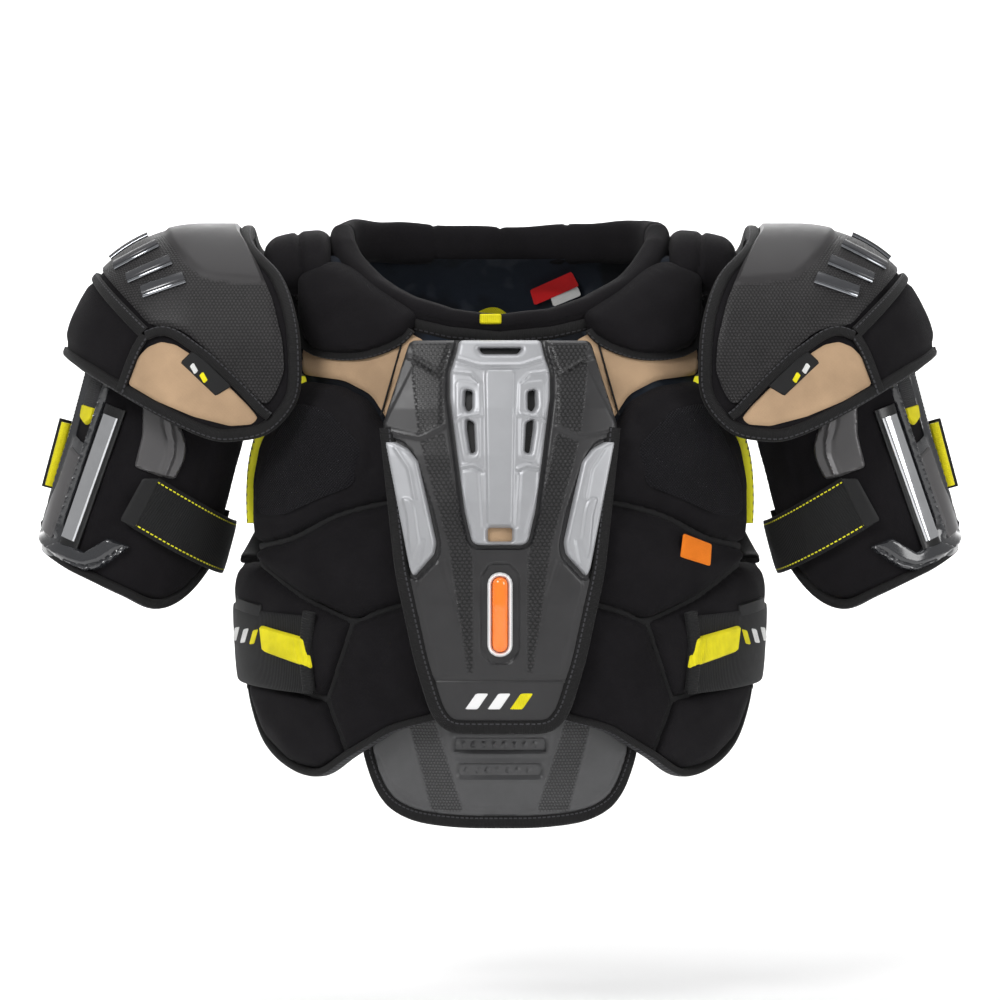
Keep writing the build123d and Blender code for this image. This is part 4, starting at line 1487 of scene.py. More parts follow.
@dataclass
class BackPads(Assembly):
    """Shoulder-blade and lumbar pads with a spine pad and a moulded spine plate."""

    body = "vest"
    foam: tuple = (2.8, 14.6)
    seam: tuple = ((36, -164), (98, -160), (142, -150), (167, -139))

    def build(self) -> None:
        """Makes the whole back."""
        low, high = self.foam
        blade = [
            (36, 42), (116, 42), (136, 32), (146, 0), (138, -40), (148, -92), *reversed(self.seam),
        ]
        lumbar = [
            *self.seam, (181, -168), (184, -200), (175, -260), (152, -282), (87, -289), (36, -291),
        ]
        spine = both([(36, 44), (36, -180), (28, -240), (22, -291)])
        for side in SIDES:
            panel = Panel(
                f"{side}_blade_cover", inset(blade, 0.4), "knit", low, high, surface=BACK, edge=10,
                edge_share=0.25, step=3.5,
                relief=Relief(
                    surface=BACK, crown=3.5, crown_reach=30, ripple=0.35,
                    fields=(
                        (((56, 14), (112, 18), (124, -6), (118, -60), (122, -120), (60, -128)), 2.5, 8.0),
                    ),
                    lines=((((60, -50), (116, -44)), -1.6, 2.4), (((62, -88), (118, -82)), -1.6, 2.4)),
                ),
            )
            self.place(panel.build(side), f"{side}_blade_pad", slot="knit", fill=0.9)
            panel = Panel(
                f"{side}_lumbar_cover", inset(lumbar, 0.4), "side_knit", low, high, surface=BACK, edge=10,
                edge_share=0.25, step=3.5,
                relief=Relief(
                    surface=BACK, crown=3.5, crown_reach=30, ripple=0.35,
                    fields=((((58, -184), (150, -176), (152, -240), (128, -262), (60, -268)), 2.0, 8.0),),
                    lines=((((60, -224), (152, -216)), -1.6, 2.4),),
                ),
            )
            self.place(panel.build(side), f"{side}_lumbar_pad", slot="knit", fill=0.9)
            ribbon = Ribbon(
                f"{side}_back_seam", self.seam, "piping", 5.5, 9.0, 5.0, surface=BACK, smooth=True
            )
            self.place(ribbon.build(side), slot="binding")
            rim = (
                (116, 43), (135, 33), (145, 2), (139, -38), (149, -92), (168, -138), (181, -166),
            )
            ribbon = Ribbon(
                f"{side}_back_armhole_binding", rim, "binding", 1.5, 14.0, 6.0, surface=BACK, smooth=True
            )
            self.place(ribbon.build(side), slot="binding")
            rim = ((176, -256), (153, -282), (120, -286), (87, -289), (36, -291), (22, -291))
            ribbon = Ribbon(
                f"{side}_back_hem_binding", rim, "binding", 1.5, 14.0, 6.0, surface=BACK, smooth=True
            )
            self.place(ribbon.build(side), slot="binding")
        panel = Panel(
            "spine_cover", inset(spine, 0.4), "knit", low, high, surface=BACK, edge=8, edge_share=0.3,
            step=3.5, relief=Relief(surface=BACK, crown=1.0),
        )
        self.place(panel.build(), "spine_pad", slot="knit", fill=0.9)
        ribs = tuple((((-22, z), (0, z - 7), (22, z)), -1.6, 1.8) for z in range(10, -260, -34))
        windows = tuple(
            (((-11, z), (11, z), (11, z - 10), (0, z - 14), (-11, z - 10)), -1.8, 2.0)
            for z in range(0, -250, -34)
        )
        panel = Panel(
            "spine_plate_moulding", inset(spine, 9.0), "sternum", 15.1, 19.5, surface=BACK, edge=3,
            edge_share=0.4, step=2.0, corner=7,
            relief=Relief(surface=BACK, lines=ribs, fields=windows),
            texture=Patches(
                [beside(((24, 20), (12, 20), (12, -262), (17, -262)), turn) for turn in (-1, 1)],
                surface=BACK,
            ),
        )
        self.place(panel.build(), "spine_plate", slot="dark_plastic")


# ------------------------------------------------------------------ the sternum guard
@dataclass
class SternumGuard(Assembly):
    """The moulded breastbone plate with its binding, silver inserts and orange capsule."""

    body = "sternum_guard"
    half: tuple = tuple(STERNUM_HALF)
    foam_bottom: float = 15.8
    plate_bottom: float = 20.1
    plate_top: float = 24.6
    insert_half: tuple = (
        (25.5, -11), (27, -20), (31, -33), (31, -50), (22, -126), (17.5, -147), (14, -149.5),
    )
    capsule: tuple = (-196.5, 27.5)

    def build(self) -> None:
        """Makes the guard."""
        outline = both(self.half)
        foam = Panel(
            "sternum_foam_cover", inset(outline, 9.0), "knit", self.foam_bottom, self.plate_bottom - 0.2,
            step=5.0, edge=2.0, edge_share=0.8,
        )
        self.place(foam.build(), "sternum_foam", slot="knit", fill=0.95)
        self._plate(outline)
        ring = Ribbon(
            "sternum_binding_tape", inset(outline, 4.6)[1:11], "binding", 15.6, 26.8, 9.6, corner=9,
            step=2.0,
        )
        self.place(ring.build(), "sternum_binding", slot="binding")
        self._insert()
        self._wings()
        self._capsule()
        self._mark()

    def _plate(self, outline: list[Point]) -> None:
        """The dark plate: facets, ridges and bands of moulded texture."""
        edge = both(
            [(57, -11), (74.5, -70), (68.5, -80), (58.3, -168), (46.3, -227), (36.5, -262), (30, -270)]
        )
        moat = inset(both(self.insert_half), -3.0)
        slot = [
            (12, -170), (12, -222), (6, -230), (-6, -230), (-12, -222), (-12, -170), (-6, -162),
            (6, -162),
        ]
        wing = [(73, -76), (60, -80), (53, -90), (41, -128), (37, -150), (38, -158), (52, -174), (60, -170)]
        facet = [(52, -176), (38, -160), (28, -190), (17, -237), (38, -238)]
        brow = [(56, -10), (53, -24), (38.5, -34), (34.5, -22), (31, -10)]
        shoulder = [(53, -26), (73, -70), (50.5, -75.5), (37, -69), (36, -38)]
        band = [(-46, -243), (46, -243), (44, -262), (34, -275), (-34, -275), (-44, -262)]
        fields = [(moat, -2.2, 1.4), (slot, -2.0, 1.4), (band, -1.0, 1.2)]
        lines = [(((-48, -241.5), (48, -241.5)), -1.0, 1.0)]
        own_fields = ((wing, -2.0, 1.4), (facet, 0.9, 1.6), (brow, 0.9, 1.4), (shoulder, 1.1, 1.6))
        own_lines = (
            (((57, -22.5), (52.5, -24), (38, -34)), 1.3, 1.3),
            (((76, -71), (50, -77), (36, -69.5)), 1.5, 1.3),
            (((34, -160), (26, -192), (17, -236)), 0.7, 0.8),
            (((17, -156), (16, -190), (16.5, -236)), 0.6, 0.9),
        )
        own_hexes = (
            ((54, -14), (55, -27), (50, -75), (35, -68), (36, -40), (31, -14)),
            (
                (49, -80), (46, -94), (32, -150), (20, -236), (17, -236), (17, -158), (25, -126),
                (35, -74),
            ),
        )
        hexes = []
        for turn in (1, -1):
            fields += [(beside(points, turn), *rest) for points, *rest in own_fields]
            lines += [(beside(points, turn), *rest) for points, *rest in own_lines]
            hexes += [beside(points, turn) for points in own_hexes]
        plate = Panel(
            "sternum_plate_moulding", edge, "sternum", self.plate_bottom, self.plate_top,
            step=1.15, edge=2.0, edge_share=0.6, corner=4,
            relief=Relief(fields=fields, lines=lines), texture=Patches(hexes),
        )
        self.place(plate.build(), "sternum_plate", slot="dark_plastic")

    def _insert(self) -> None:
        """The silver vent insert: slots, a raised spine and lobes round the slots."""
        slots = [
            [(13.5, -16.5), (11, -20.5), (-11, -20.5), (-13.5, -16.5)],
            [(7.5, -138), (7.5, -147), (-7.5, -147), (-7.5, -138)],
        ]
        own_slots = (
            ((21.5, -45), (17.2, -46), (17.2, -58), (20, -60), (22, -56)),
            ((20.5, -65), (16.2, -67), (15.2, -87), (18.2, -88), (20.5, -72)),
        )
        for turn in (1, -1):
            slots += [beside(slot, turn) for slot in own_slots]
        fields = [(((9.0, -31), (7.4, -136), (-7.4, -136), (-9.0, -31)), 1.6, 1.7)]
        lines = [
            (((-26, -23), (-13, -27.5), (13, -27.5), (26, -23)), 1.3, 1.0),
            (((-26, -26), (-13, -30.5), (13, -30.5), (26, -26)), -0.8, 0.9),
        ]
        lobe = ((27, -38), (13.5, -40), (12, -64), (12, -92), (22, -94), (26.5, -66))
        own_lines = (
            (((30, -32), (18, -33.5), (12.5, -40), (11.5, -62)), 1.2, 1.0),
            (((28, -66), (22, -62.5), (13, -61)), 1.2, 1.0),
            (((25, -97), (17, -95), (11, -98)), 1.2, 1.0),
            (((25, -99.5), (17, -97.5), (11, -100.5)), -0.8, 0.9),
            (((12, -101), (10, -137)), -0.8, 1.0),
            (((24.5, -104), (16, -141)), 0.7, 1.0),
        )
        for turn in (1, -1):
            fields.append((beside(lobe, turn), 0.9, 1.5))
            lines += [(beside(points, turn), *rest) for points, *rest in own_lines]
        insert = Panel(
            "sternum_vent_moulding", both(self.insert_half), "silver", self.plate_top - 2.0,
            self.plate_top + 4.6, step=0.85, edge=3.2, edge_share=0.4, corner=3, holes=slots,
            relief=Relief(fields=fields, lines=lines),
        )
        self.place(insert.build(), "sternum_vent_insert", slot="silver")
        backing = Panel(
            "vent_backing", inset(both(self.insert_half), 2.0), "smooth_black", self.plate_top - 2.4,
            self.plate_top - 1.4, step=4.0, edge=1.0,
        )
        self.place(backing.build(), slot="dark_plastic")
        window = Panel(
            "vent_window_mesh", ((8.5, -136), (8.5, -149), (-8.5, -149), (-8.5, -136)), "tan",
            self.plate_top - 1.4, self.plate_top - 0.8, step=2.0, corner=1,
        )
        self.place(window.build(), slot="tan")

    def _wings(self) -> None:
        """The two silver wings beside the binding."""
        wing = [
            (71.5, -79.5), (66, -80), (57.5, -85), (51, -93.5), (43.5, -130), (39.8, -148),
            (41.2, -156), (53.5, -171), (56, -166),
        ]
        dent = [(60, -117), (54, -119), (52, -125), (49, -148), (53, -160), (55, -152), (57, -128)]
        for index, side in enumerate(SIDES):
            panel = Panel(
                f"{side}_wing_moulding", wing, "silver", self.plate_top - 2.0, self.plate_top + 3.4,
                step=0.85, edge=2.6, edge_share=0.45, corner=2,
                relief=Relief(
                    fields=((dent, 1.3, 1.6),),
                    lines=(
                        (((64, -84), (55.5, -98), (52, -118)), 0.8, 1.2),
                        (((47, -146), (49.5, -162)), -0.7, 1.0),
                    ),
                ),
            )
            nodes = ("sternum_wing_inserts",) if index == 0 else ()
            self.place(panel.build(side), *nodes, slot="silver")

    def _capsule(self) -> None:
        """The orange capsule in its white bezel."""
        middle, half = self.capsule

        def stadium(width: float, extra: float) -> list[Point]:
            """The capsule's outline: its half width, and how far past the capsule it ends."""
            length = half + extra - width
            top = [
                (width * math.cos(a), middle + length + width * math.sin(a))
                for a in np.linspace(0, math.pi, 9)
            ]
            foot = [(-x, 2 * middle - z) for x, z in top]
            return top + foot

        bezel = Panel(
            "capsule_bezel_moulding", stadium(7.8, 1.2), "white", self.plate_top - 2.0, self.plate_top + 2.4,
            step=0.9, edge=1.6, edge_share=0.5, corner=0.2, holes=[stadium(5.2, -1.6)],
        )
        self.place(bezel.build(), "capsule_bezel", slot="white_plastic")
        core = Panel(
            "capsule_core", stadium(5.0, -1.8), "orange", self.plate_top - 1.8, self.plate_top + 4.2,
            step=0.8, edge=4.6, edge_share=0.25, corner=0.2,
        )
        self.place(core.build(), "impact_capsule", slot="orange_plastic")

    def _mark(self) -> None:
        """Three plain slanted bars on the foot of the plate."""
        for index, (start, look) in enumerate(((-22, "white"), (-8, "white"), (6, "yellow_web"))):
            bar = [(start, -261), (start + 8, -261), (start + 15, -250), (start + 7, -250)]
            panel = Panel(
                f"foot_bar_{index}", bar, look, self.plate_top - 1.3, self.plate_top - 0.7, step=1.5,
                corner=0.4, edge=0.4,
            )
            self.place(panel.build(), slot="white_plastic")


@dataclass
class BellyGuard(Assembly):
    """The moulded belly plate with two ribbed slots, texture bands and a wide binding."""

    body = "belly_guard"
    half: tuple = ((82, -236), (104, -288), (100, -304), (93, -322), (82, -335), (62, -343), (30, -346))

    def build(self) -> None:
        """Makes the guard."""
        outline = both(self.half)
        foam = Panel(
            "belly_foam_cover", inset(outline, 8.5), "knit", -11.6, -4.4, step=6, edge=2, edge_share=0.8
        )
        self.place(foam.build(), "belly_foam", slot="knit", fill=0.95)
        slots = []
        bumps = []
        for z, half in ((-287.5, 34), (-305.5, 31)):
            slots.append((((-half, z + 4.6), (half, z + 4.6), (half, z - 4.6), (-half, z - 4.6)), -2.2, 1.4))
            bumps += [(((x, z + 1.6), (x + 3.4, z + 1.6), (x + 3.4, z - 1.6), (x, z - 1.6)), 1.5, 1.0)
                      for x in np.arange(-half + 5, half - 6, 7.5)]
        rims = []
        for z, half in ((-287.5, 34), (-305.5, 31)):
            x = half + 2
            loop = [(-x, z + 6.2), (x, z + 6.2), (x, z - 6.2), (-x, z - 6.2), (-x, z + 6.2)]
            rims.append((loop, 0.8, 1.1))
        bands = []
        lines = list(rims)
        band = ((66, -240), (47, -240), (47, -272), (27, -334), (50, -334), (66, -272))
        own_lines = (
            (((67, -240), (67, -272), (51, -334)), 0.8, 0.9),
            (((46, -240), (46, -272), (26, -334)), 0.8, 0.9),
            (((90, -296), (80, -318), (60, -329), (0, -333)), -0.8, 1.4),
        )
        for turn in (1, -1):
            bands.append(beside(band, turn))
            lines += [(beside(points, turn), *rest) for points, *rest in own_lines]
        plate = Panel(
            "belly_plate_moulding", inset(outline, 8.4), "belly", -4.4, -1.4, step=1.7, edge=2.0,
            edge_share=0.5, corner=10, relief=Relief(fields=[*slots, *bumps], lines=lines),
            texture=Patches(bands),
        )
        self.place(plate.build(), "belly_plate", slot="grey_plastic")
        ring = Ribbon(
            "belly_binding_tape", inset(outline, 4.8), "binding", -12.8, -0.6, 10.0, closed=True, corner=14
        )
        self.place(ring.build(), "belly_binding", slot="binding")


# ------------------------------------------------------------------ shoulder caps
@dataclass
class ShoulderCap(Assembly):
    """A domed shoulder cap: cloth over foam, a textured shell, a tan vent panel and an emblem."""

    side: str = "left"
    rim: tuple = (
        (172, 95), (172, 60), (150, 34), (139, 4), (136, -28), (139, -53), (157, -74), (180, -80),
        (202, -78), (240, -60), (318, -16), (330, 40), (300, 110),
    )
    shell_rim: tuple = (
        (184, 100), (184, 66), (176, 56), (166, 38), (156, 16), (149, -11), (147.5, -32), (154, -48),
        (160.5, -56), (180, -39), (198, -20), (216, -5), (229, -1.5), (240, -1), (252, 12), (285, 44),
        (310, 80), (300, 110),
    )
    hexes: tuple = (
        (312, 100), (262, 82), (241, 66), (227, 52), (217, 39), (204, 30), (186, 27), (158, 26),
        (140, -10), (140, -60), (162, -64), (200, -28), (240, -10), (320, 60),
    )
    vent_rim: tuple = (
        (255, -41), (247.5, -22), (241, -15.5), (232, -12), (222, -14), (212.5, -20), (185, -43),
        (172.5, -55.5), (165.5, -64), (170, -68.5), (185, -69.5), (210, -63), (235, -52.5),
    )

    def __post_init__(self) -> None:
        """Sets the body that the pieces ride on."""
        self.body = f"{self.side}_shoulder_cap"

    def build(self) -> None:
        """Makes the cap."""
        side = self.side
        for name, surface in (("front", CAP_FRONT), ("back", CAP_BACK)):
            cover = Panel(
                f"{side}_cap_cover_{name}", inset(self.rim, 2.0), "knit", -7.3, 0.6, surface=surface,
                step=4.0, edge=5, edge_share=1.0, corner=6,
                relief=Relief(
                    surface=surface, ripple=0.25,
                    fields=((((250, -2), (300, 40), (306, -8), (262, -34)), 2.0, 12.0),),
                ),
            )
            self.place(cover.build(side), f"{side}_cap_foam", slot="knit", fill=0.95)
            shell = Panel(
                f"{side}_cap_shell_{name}", self.shell_rim, "shell", 0.4, 3.2, surface=surface,
                step=3.0, edge=2.5, edge_share=0.6, corner=5,
                relief=Relief(
                    surface=surface,
                    fields=((((250, 90), (226, 52), (204, 31), (160, 27), (120, 60), (180, 120)), 1.6, 5.0),),
                ),
                texture=Patches([self.hexes], surface=surface),
            )
            self.place(shell.build(side), f"{side}_cap_shell", slot="dark_plastic")
            bands = {
                "shell": ((291, 41), (271, 20.5), (253, 3), (243.5, -6)),
                "vent": (
                    (242, -8), (232, -5), (222, -7.5), (210, -15.5), (197, -25), (179, -42), (164, -58),
                    (158, -63),
                ),
                "side": ((243, -8), (249, -18), (255, -32), (260, -46)),
            }
            for band, path in bands.items():
                tape = Ribbon(
                    f"{side}_cap_{band}_band_{name}", path, "binding", 0.6, 4.4,
                    9.0 if band == "shell" else 6.6, surface=surface,
                    smooth=True, step=2.0,
                )
                self.place(tape.build(side), slot="binding")
            edge = Ribbon(
                f"{side}_cap_binding_{name}", inset(self.rim, 4.6)[:11], "binding", -8.6, 3.4, 9.4,
                surface=surface, step=2.5, smooth=True,
            )
            self.place(edge.build(side), f"{side}_cap_binding", slot="binding")
        vent = Panel(
            f"{side}_cap_vent_cloth", self.vent_rim, "tan", 0.4, 2.2, surface=CAP_FRONT, step=2.2,
            edge=2, edge_share=0.4, corner=2, relief=Relief(surface=CAP_FRONT, ripple=0.2),
        )
        self.place(vent.build(side), f"{side}_cap_vent", slot="tan")
        tag = Panel(
            f"{side}_cap_tag", ((218.5, -26), (209, -17), (183, -42), (194.5, -49)), "tag", 2.0, 3.2,
            surface=CAP_FRONT, corner=0.8, step=2.0, edge=0.8,
        )
        self.place(tag.build(side), slot="binding")
        for index, look in enumerate(("white_cloth", "yellow_web")):
            x, z = 209.5 - 6.5 * index, -28.5 - 6.2 * index
            stripe = Panel(
                f"{side}_cap_tag_stripe_{index}",
                ((x + 2.6, z), (x, z + 2.4), (x - 3.2, z - 3.4), (x - 0.6, z - 5.8)), look, 3.0, 3.6,
                surface=CAP_FRONT, corner=0.3, step=1.4, edge=0.4,
            )
            self.place(stripe.build(side), slot="label")
        self._emblem()

    def _emblem(self) -> None:
        """A plain raised metal mark: four slanted bars that step down the shell."""
        bars = (
            ((276.5, 49), (249, 64)),
            ((266.5, 39.5), (238, 54)),
            ((256, 30.5), (227.5, 42.5)),
            ((245, 21), (217.5, 30.5)),
        )
        for index, path in enumerate(bars):
            for part, look, low, high, width in (
                ("edge", "emblem", 2.6, 5.6, 10.6), ("face", "emblem_face", 4.6, 6.8, 7.4),
            ):
                bar = Ribbon(
                    f"{self.side}_emblem_{part}_{index}", path, look, low, high, width, surface=CAP_FRONT,
                )
                self.place(bar.build(self.side), slot="chrome")


# ------------------------------------------------------------------ bicep guards
def round_sleeve(points: Outline) -> list[Point]:
    """Flat sleeve coordinates from (degrees round the sleeve, depth down it)."""
    return [(math.radians(degrees) * SLEEVE.radius, -depth) for degrees, depth in points]


@dataclass
class BicepGuard(Assembly):
    """A padded sleeve with moulded rails, a chrome bar, hanger straps and an arm strap."""

    side: str = "left"
    hem: tuple = (
        (-130, 180), (-115, 184), (-96, 181), (0, 169), (60, 175), (96, 181), (120, 185), (139, 175),
        (158, 154), (170, 138),
    )

    def __post_init__(self) -> None:
        """Sets the body that the pieces ride on."""
        self.body = f"{self.side}_bicep_guard"

    def _panel(
        self, name: str, look: str, points: Outline, low: float, high: float, **options: Any
    ) -> bpy.types.Object:
        """A panel drawn by degrees round the sleeve and depth down it; options are Panel's."""
        panel = Panel(
            f"{self.side}_{name}", round_sleeve(points), look, low, high, surface=SLEEVE, in_front=False,
            **options,
        )
        return panel.build(self.side)

    def build(self) -> None:
        """Makes the guard, its straps and its trim."""
        side = self.side
        sleeve = [(-130, 0), (-60, 0), (0, 0), (60, 0), (120, 0), (170, 0), *reversed(self.hem)]
        cover = self._panel(
            "sleeve_cover", "knit", sleeve, -10.0, -0.4, step=3.5, edge=9, edge_share=0.35, corner=12,
            relief=Relief(
                surface=SLEEVE, crown=0.8, ripple=0.3, in_front=False,
                lines=(
                    (round_sleeve(((72, 30), (72, 160))), -1.2, 2.0),
                    (round_sleeve(((125, 20), (132, 130))), -1.2, 2.2),
                ),
            ),
        )
        self.place(cover, f"{side}_guard_pad", slot="knit", fill=0.9)
        hem = Ribbon(
            f"{side}_sleeve_hem",
            round_sleeve([(-130, 120), (-129, 172), *self.hem[1:], (171, 110)]), "binding",
            -10.4, 0.9, 7.0, surface=SLEEVE, in_front=False, smooth=True,
        )
        self.place(hem.build(side), slot="binding")
        self._rails()
        self._straps()

    def _front(
        self, name: str, look: str, outline: Outline, low: float, high: float, **options: Any
    ) -> bpy.types.Object:
        """A panel on the sleeve, drawn in the front view; options are Panel's."""
        panel = Panel(f"{self.side}_{name}", outline, look, low, high, surface=SLEEVE, **options)
        return panel.build(self.side)

    def _rails(self) -> None:
        """The moulded side, its raised rails, the chrome bar, the lip and the wing."""
        side = self.side
        shell = [
            (-66, 6), (52, 6), (50, 60), (46, 110), (42, 146), (44, 160), (40, 172), (30, 172), (0, 166),
            (-40, 162), (-62, 150),
        ]
        slots = [[(25, 24), (44, 24), (42, 90), (26, 86)], [(-25, 24), (-44, 24), (-44, 90), (-26, 86)]]
        lines = [
            (round_sleeve(((48, 8), (48, 45), (44, 100), (38, 156))), 2.6, 1.7),
            (round_sleeve(((21, 8), (21, 90), (12, 128), (-2, 158))), 2.4, 1.7),
            (round_sleeve(((-21, 8), (-21, 96), (-12, 128), (2, 158))), 1.4, 1.7),
            (round_sleeve(((-50, 8), (-50, 96), (-46, 150))), 2.2, 1.7),
            (round_sleeve(((-52, 157), (0, 161), (34, 167))), 2.6, 2.0),
        ]
        moulding = self._panel(
            "side_moulding", "rail", shell, 0.3, 2.8, step=1.6, edge=1.6, edge_share=0.5, corner=4,
            holes=[round_sleeve(slot) for slot in slots],
            relief=Relief(surface=SLEEVE, lines=lines, in_front=False),
        )
        self.place(moulding, f"{side}_guard_shell", slot="grey_plastic")
        plate = self._panel(
            "side_inset", "grey_part",
            [(27, 94), (43, 99), (39, 128), (34, 160), (4, 156), (14, 136), (23, 120)], 2.4, 4.6,
            step=1.4, edge=1.4, edge_share=0.4, corner=2,
        )
        self.place(plate, slot="grey_plastic")
        lip = (
            (308, -150), (297, -154), (290, -157.5), (273, -147.3), (256, -153.4), (267, -161.5),
            (278, -168.5), (290, -170.5), (301.5, -166), (313, -160.5), (321, -155),
        )
        groove = ((318, -157.5), (302, -163.5), (290, -167), (279, -164.5), (268, -157.5), (262, -154))
        piece = self._front(
            "lip", "rail", lip, 0.4, 5.4, step=1.2, edge=2.6, edge_share=0.3, corner=1.5,
            relief=Relief(surface=SLEEVE, lines=((groove, -1.8, 1.0),)),
        )
        self.place(piece, slot="grey_plastic")
        wing = (
            (248, -38), (226, -38), (224, -66), (219, -76), (217.5, -86), (219, -94), (225.5, -107),
            (235.5, -105), (254, -98), (248.5, -76),
        )
        ridge = ((229, -44), (229.5, -66), (226.5, -80), (227, -90), (232, -103))
        piece = self._front(
            "front_wing", "grey_part", wing, 0.3, 3.4, step=1.3, edge=1.8, edge_share=0.4, corner=2.5,
            relief=Relief(
                surface=SLEEVE,
                lines=((ridge, 1.8, 1.3), ([(x + 4, z) for x, z in ridge], -0.9, 1.2)),
            ),
        )
        self.place(piece, slot="grey_plastic")
        for name, look, path, low, high, width in (
            ("bar_bed", "smooth_black", ((268, -56.5), (302.5, -154.5)), -0.4, 4.2, 17.5),
            ("chrome_bar", "chrome", ((270, -63), (300.5, -148.5)), 2.0, 6.6, 12.4),
        ):
            band = Ribbon(f"{side}_{name}", path, look, low, high, width, surface=SLEEVE)
            nodes = (f"{side}_guard_bar",) if look == "chrome" else ()
            self.place(band.build(side), *nodes, slot="chrome" if nodes else "dark_plastic")
        tab = Ribbon(
            f"{side}_side_tab", round_sleeve(((6, 80), (6, 126))), "yellow_web", 2.4, 9.8, 9.0,
            surface=SLEEVE, in_front=False, across=6,
        )
        self.place(tab.build(side), slot="yellow_web")
        keeper = Ribbon(
            f"{side}_side_tab_keeper", round_sleeve(((-1.5, 78), (-1.5, 128))), "plain_elastic", 2.4,
            12.6, 7.0, surface=SLEEVE, in_front=False, across=6,
        )
        self.place(keeper.build(side), slot="elastic")

    def _straps(self) -> None:
        """Hanger straps on the hanger body and the arm strap on its own body."""
        side = self.side
        for index, turn in enumerate((1, -1)):
            strap = Ribbon(
                f"{side}_hanger_strap_{index}", round_sleeve(((turn * 35, -13), (turn * 35, 66))),
                "strap_web", 0.6, 2.9, 19.0, surface=SLEEVE, in_front=False,
            )
            nodes = (f"{side}_hanger_straps",) if index == 0 else ()
            self.place(strap.build(side), *nodes, slot="elastic", body=f"{side}_hanger")
            outline = beside(((26, 63), (44, 63), (43, 72), (37, 77), (28, 73)), turn)
            tip = Panel(
                f"{side}_hanger_tip_{index}", round_sleeve(outline), "yellow_web", 0.6, 3.6,
                surface=SLEEVE, in_front=False, corner=2, step=1.5, edge=1.2,
            )
            self.place(tip.build(side), slot="yellow_web", body=f"{side}_hanger")
        path = []
        for degrees in range(94, 179, 6):
            across_axis = 66 * math.cos(math.radians(degrees))
            path.append((degrees, 116 - 0.305 * (across_axis + 3)))
        strap = Ribbon(
            f"{side}_arm_strap_band", round_sleeve(path), "elastic", 4.4, 7.2, 39.0, surface=SLEEVE,
            in_front=False, bulge=1.0, across=10,
        )
        self.place(strap.build(side), f"{side}_arm_strap", slot="elastic", body=f"{side}_arm_strap")
        label = Panel(
            f"{side}_arm_strap_label",
            ((247.5, -106), (236.5, -106), (253, -140), (263, -135)), "tag", 7.0, 7.8, surface=SLEEVE,
            corner=1, step=2.0, edge=0.8,
        )
        self.place(label.build(side), slot="binding", body=f"{side}_arm_strap")


@dataclass
class RibStrap(Assembly):
    """The elastic strap from the back's side, with a yellow pull tab."""

    side: str = "left"

    def __post_init__(self) -> None:
        """Sets the body that the pieces ride on."""
        self.body = f"{self.side}_rib_strap"

    def build(self) -> None:
        """Makes the strap and its tab."""
        side = self.side
        path = ((130, -227), (200, -224.5), (250, -223), (281, -223))
        strap = Ribbon(
            f"{side}_rib_strap_band", path, "plain_elastic", 17.2, 20.0, 54.0, in_front=False, across=10
        )
        self.place(strap.build(side), f"{side}_rib_strap", slot="elastic")
        tab = Panel(
            f"{side}_rib_pull_tab_web", ((156, -208), (125, -215), (121, -236), (154, -226)), "yellow_web",
            20.0, 22.9, corner=1.5, step=1.6, edge=1.4,
            relief=Relief(
                lines=((((131, -217), (128, -234)), 0.9, 1.0), (((127, -216), (124, -234)), 0.9, 1.0)),
            ),
        )
        self.place(tab.build(side), f"{side}_rib_pull_tab", slot="yellow_web")
        fold = Ribbon(
            f"{side}_rib_strap_fold", ((123.5, -197), (126, -224), (124, -252)), "plain_elastic", 16.6, 22.6,
            9.0, smooth=True,
        )
        self.place(fold.build(side), slot="elastic")
        marks = ((176, "white_cloth"), (169, "white_cloth"), (162, "yellow_web"))
        for index, (start, look) in enumerate(marks):
            mark = Panel(
                f"{side}_rib_mark_{index}",
                ((start, -212), (start - 3.6, -211), (start - 0.6, -221.5), (start + 3, -222.5)), look, 19.6,
                20.5, corner=0.4, step=1.5, edge=0.5,
            )
            self.place(mark.build(side), slot="label")
        tag = Panel(
            f"{side}_rib_tag", ((176, -190), (157, -194), (158, -203), (177, -199)), "tag", 18.4, 19.6,
            corner=0.8, step=2, edge=0.8,
        )
        self.place(tag.build(side), slot="binding", body="vest")


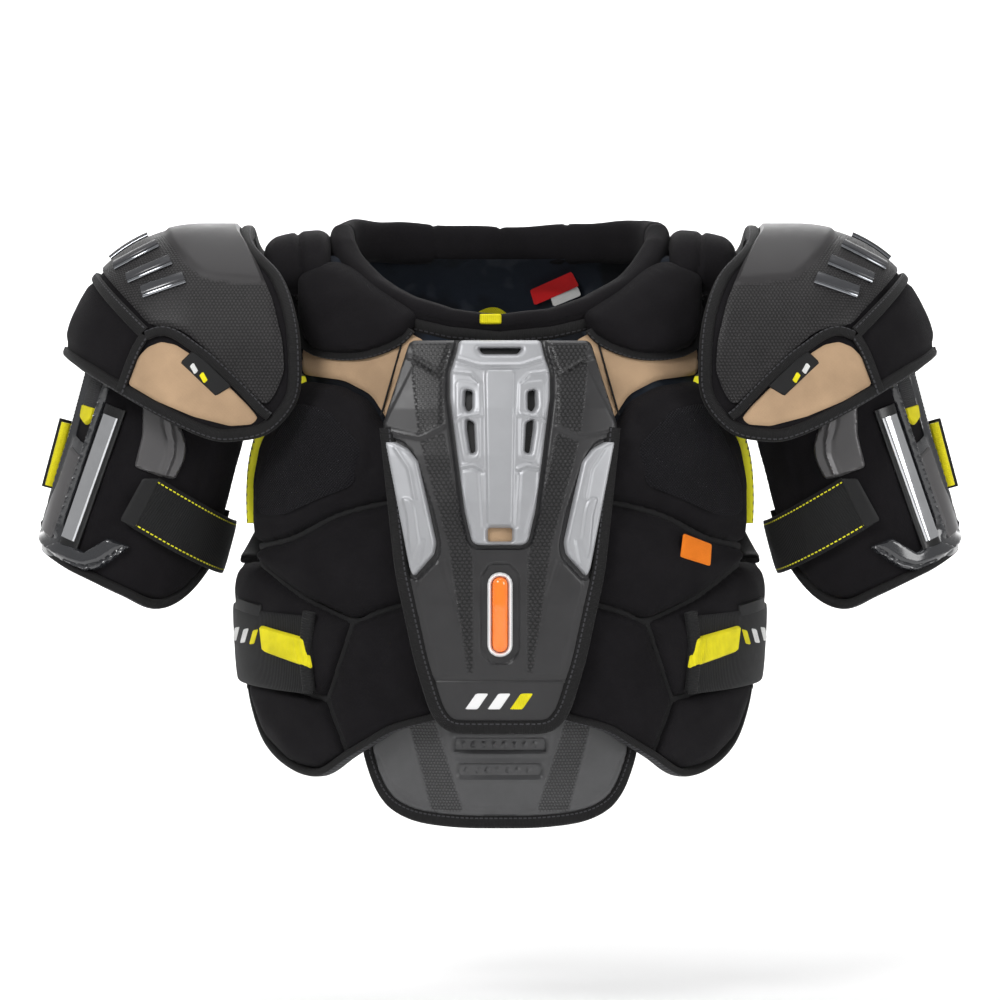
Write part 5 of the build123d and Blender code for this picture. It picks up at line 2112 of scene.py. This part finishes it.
# ------------------------------------------------------------------ the studio
@dataclass
class Studio:
    """A pale floor and backdrop, soft lights and the camera."""

    aim: tuple = (0.0, -0.03, -0.122)
    distance: float = 2.62
    elevation: float = 1.5
    lens: float = 134.0
    ambient: float = 0.42
    sky: float = 0.95
    floor_level: float = -480.0
    half_width: float = 6000.0

    def camera(self) -> None:
        """Makes the camera, in front and very slightly above."""
        data = bpy.data.cameras.new("camera")
        data.lens = self.lens
        data.sensor_width = 36
        camera = bpy.data.objects.new("camera", data)
        bpy.context.scene.collection.objects.link(camera)
        aim = Vector(self.aim)
        rise = math.radians(self.elevation)
        camera.location = aim + self.distance * Vector((0, -math.cos(rise), math.sin(rise)))
        camera.rotation_euler = (aim - camera.location).to_track_quat("-Z", "Y").to_euler()
        bpy.context.scene.camera = camera

    def _area(
        self, name: str, place: tuple, size: float, power: float, aim: Optional[tuple] = None
    ) -> None:
        """Adds a round light.

        Args:
            name: its name.
            place: where it is, in metres.
            size: how wide it is, in metres.
            power: its power, in watts.
            aim: where it points, if not at the studio's aim.
        """
        data = bpy.data.lights.new(name, "AREA")
        data.shape = "DISK"
        data.size = size
        data.energy = power
        light = bpy.data.objects.new(name, data)
        bpy.context.scene.collection.objects.link(light)
        light.location = place
        toward = Vector(aim or self.aim) - light.location
        light.rotation_euler = toward.to_track_quat("-Z", "Y").to_euler()

    def lights(self) -> None:
        """A key from the upper left, a fill, a top light, a rim light and lights on the backdrop."""
        self._area("key", (-1.3, -1.9, 1.5), 1.0, 40)
        self._area("fill", (1.8, -1.6, 0.5), 1.2, 18)
        self._area("top", (0.0, 0.1, 1.7), 1.4, 14)
        self._area("low", (0.0, -1.8, -0.9), 1.0, 5)
        self._area("rim", (0.0, 1.6, 1.0), 1.4, 14)
        self._area("backdrop_left", (-1.9, 3.4, 2.4), 1.2, 110, aim=(-0.4, 5.8, 0.1))
        self._area("backdrop_right", (1.9, 3.4, 2.4), 1.2, 110, aim=(0.4, 5.8, 0.1))
        world = bpy.data.worlds.new("surround")
        world.use_nodes = True
        background = world.node_tree.nodes["Background"]
        background.inputs[0].default_value = (1, 1, 1, 1)
        path = world.node_tree.nodes.new("ShaderNodeLightPath")
        span = world.node_tree.nodes.new("ShaderNodeMapRange")
        span.inputs["To Min"].default_value = self.ambient
        span.inputs["To Max"].default_value = self.sky
        world.node_tree.links.new(path.outputs["Is Camera Ray"], span.inputs["Value"])
        world.node_tree.links.new(span.outputs["Result"], background.inputs[1])
        bpy.context.scene.world = world
        bpy.context.scene.view_settings.view_transform = "Standard"

    def floor(self) -> None:
        """The pale floor, curved up behind as a backdrop."""
        near, far, bend, tall = -5.0, 5.0, 0.8, 5.0
        turns = np.linspace(0, math.pi / 2, 14)
        profile = [(near, 0.0)]
        profile += [(far + bend * math.sin(a), bend - bend * math.cos(a)) for a in turns]
        profile += [(far + bend, tall)]
        places, faces = [], []
        for y, z in profile:
            for x in (-self.half_width, self.half_width):
                places.append((x, y * 1000, z * 1000 + self.floor_level))
        for i in range(len(profile) - 1):
            faces.append((2 * i, 2 * i + 1, 2 * i + 3, 2 * i + 2))
        to_object("backdrop", np.array(places), faces, "backdrop")


def main() -> None:
    """Builds the looks on the frame."""
    logging.basicConfig(level=logging.INFO, format="%(message)s")
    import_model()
    studio = Studio()
    studio.camera()
    assemblies: list = [Lining(), ChestPads(), Yoke(), Collar(), BackPads(), SternumGuard(), BellyGuard()]
    for side in SIDES:
        assemblies += [ShoulderCap(side=side), BicepGuard(side=side), RibStrap(side=side)]
    for assembly in assemblies:
        LOG.info("building %s %s", type(assembly).__name__, getattr(assembly, "side", ""))
        assembly.build()
    studio.floor()
    studio.lights()


if __name__ == "__main__":
    main()
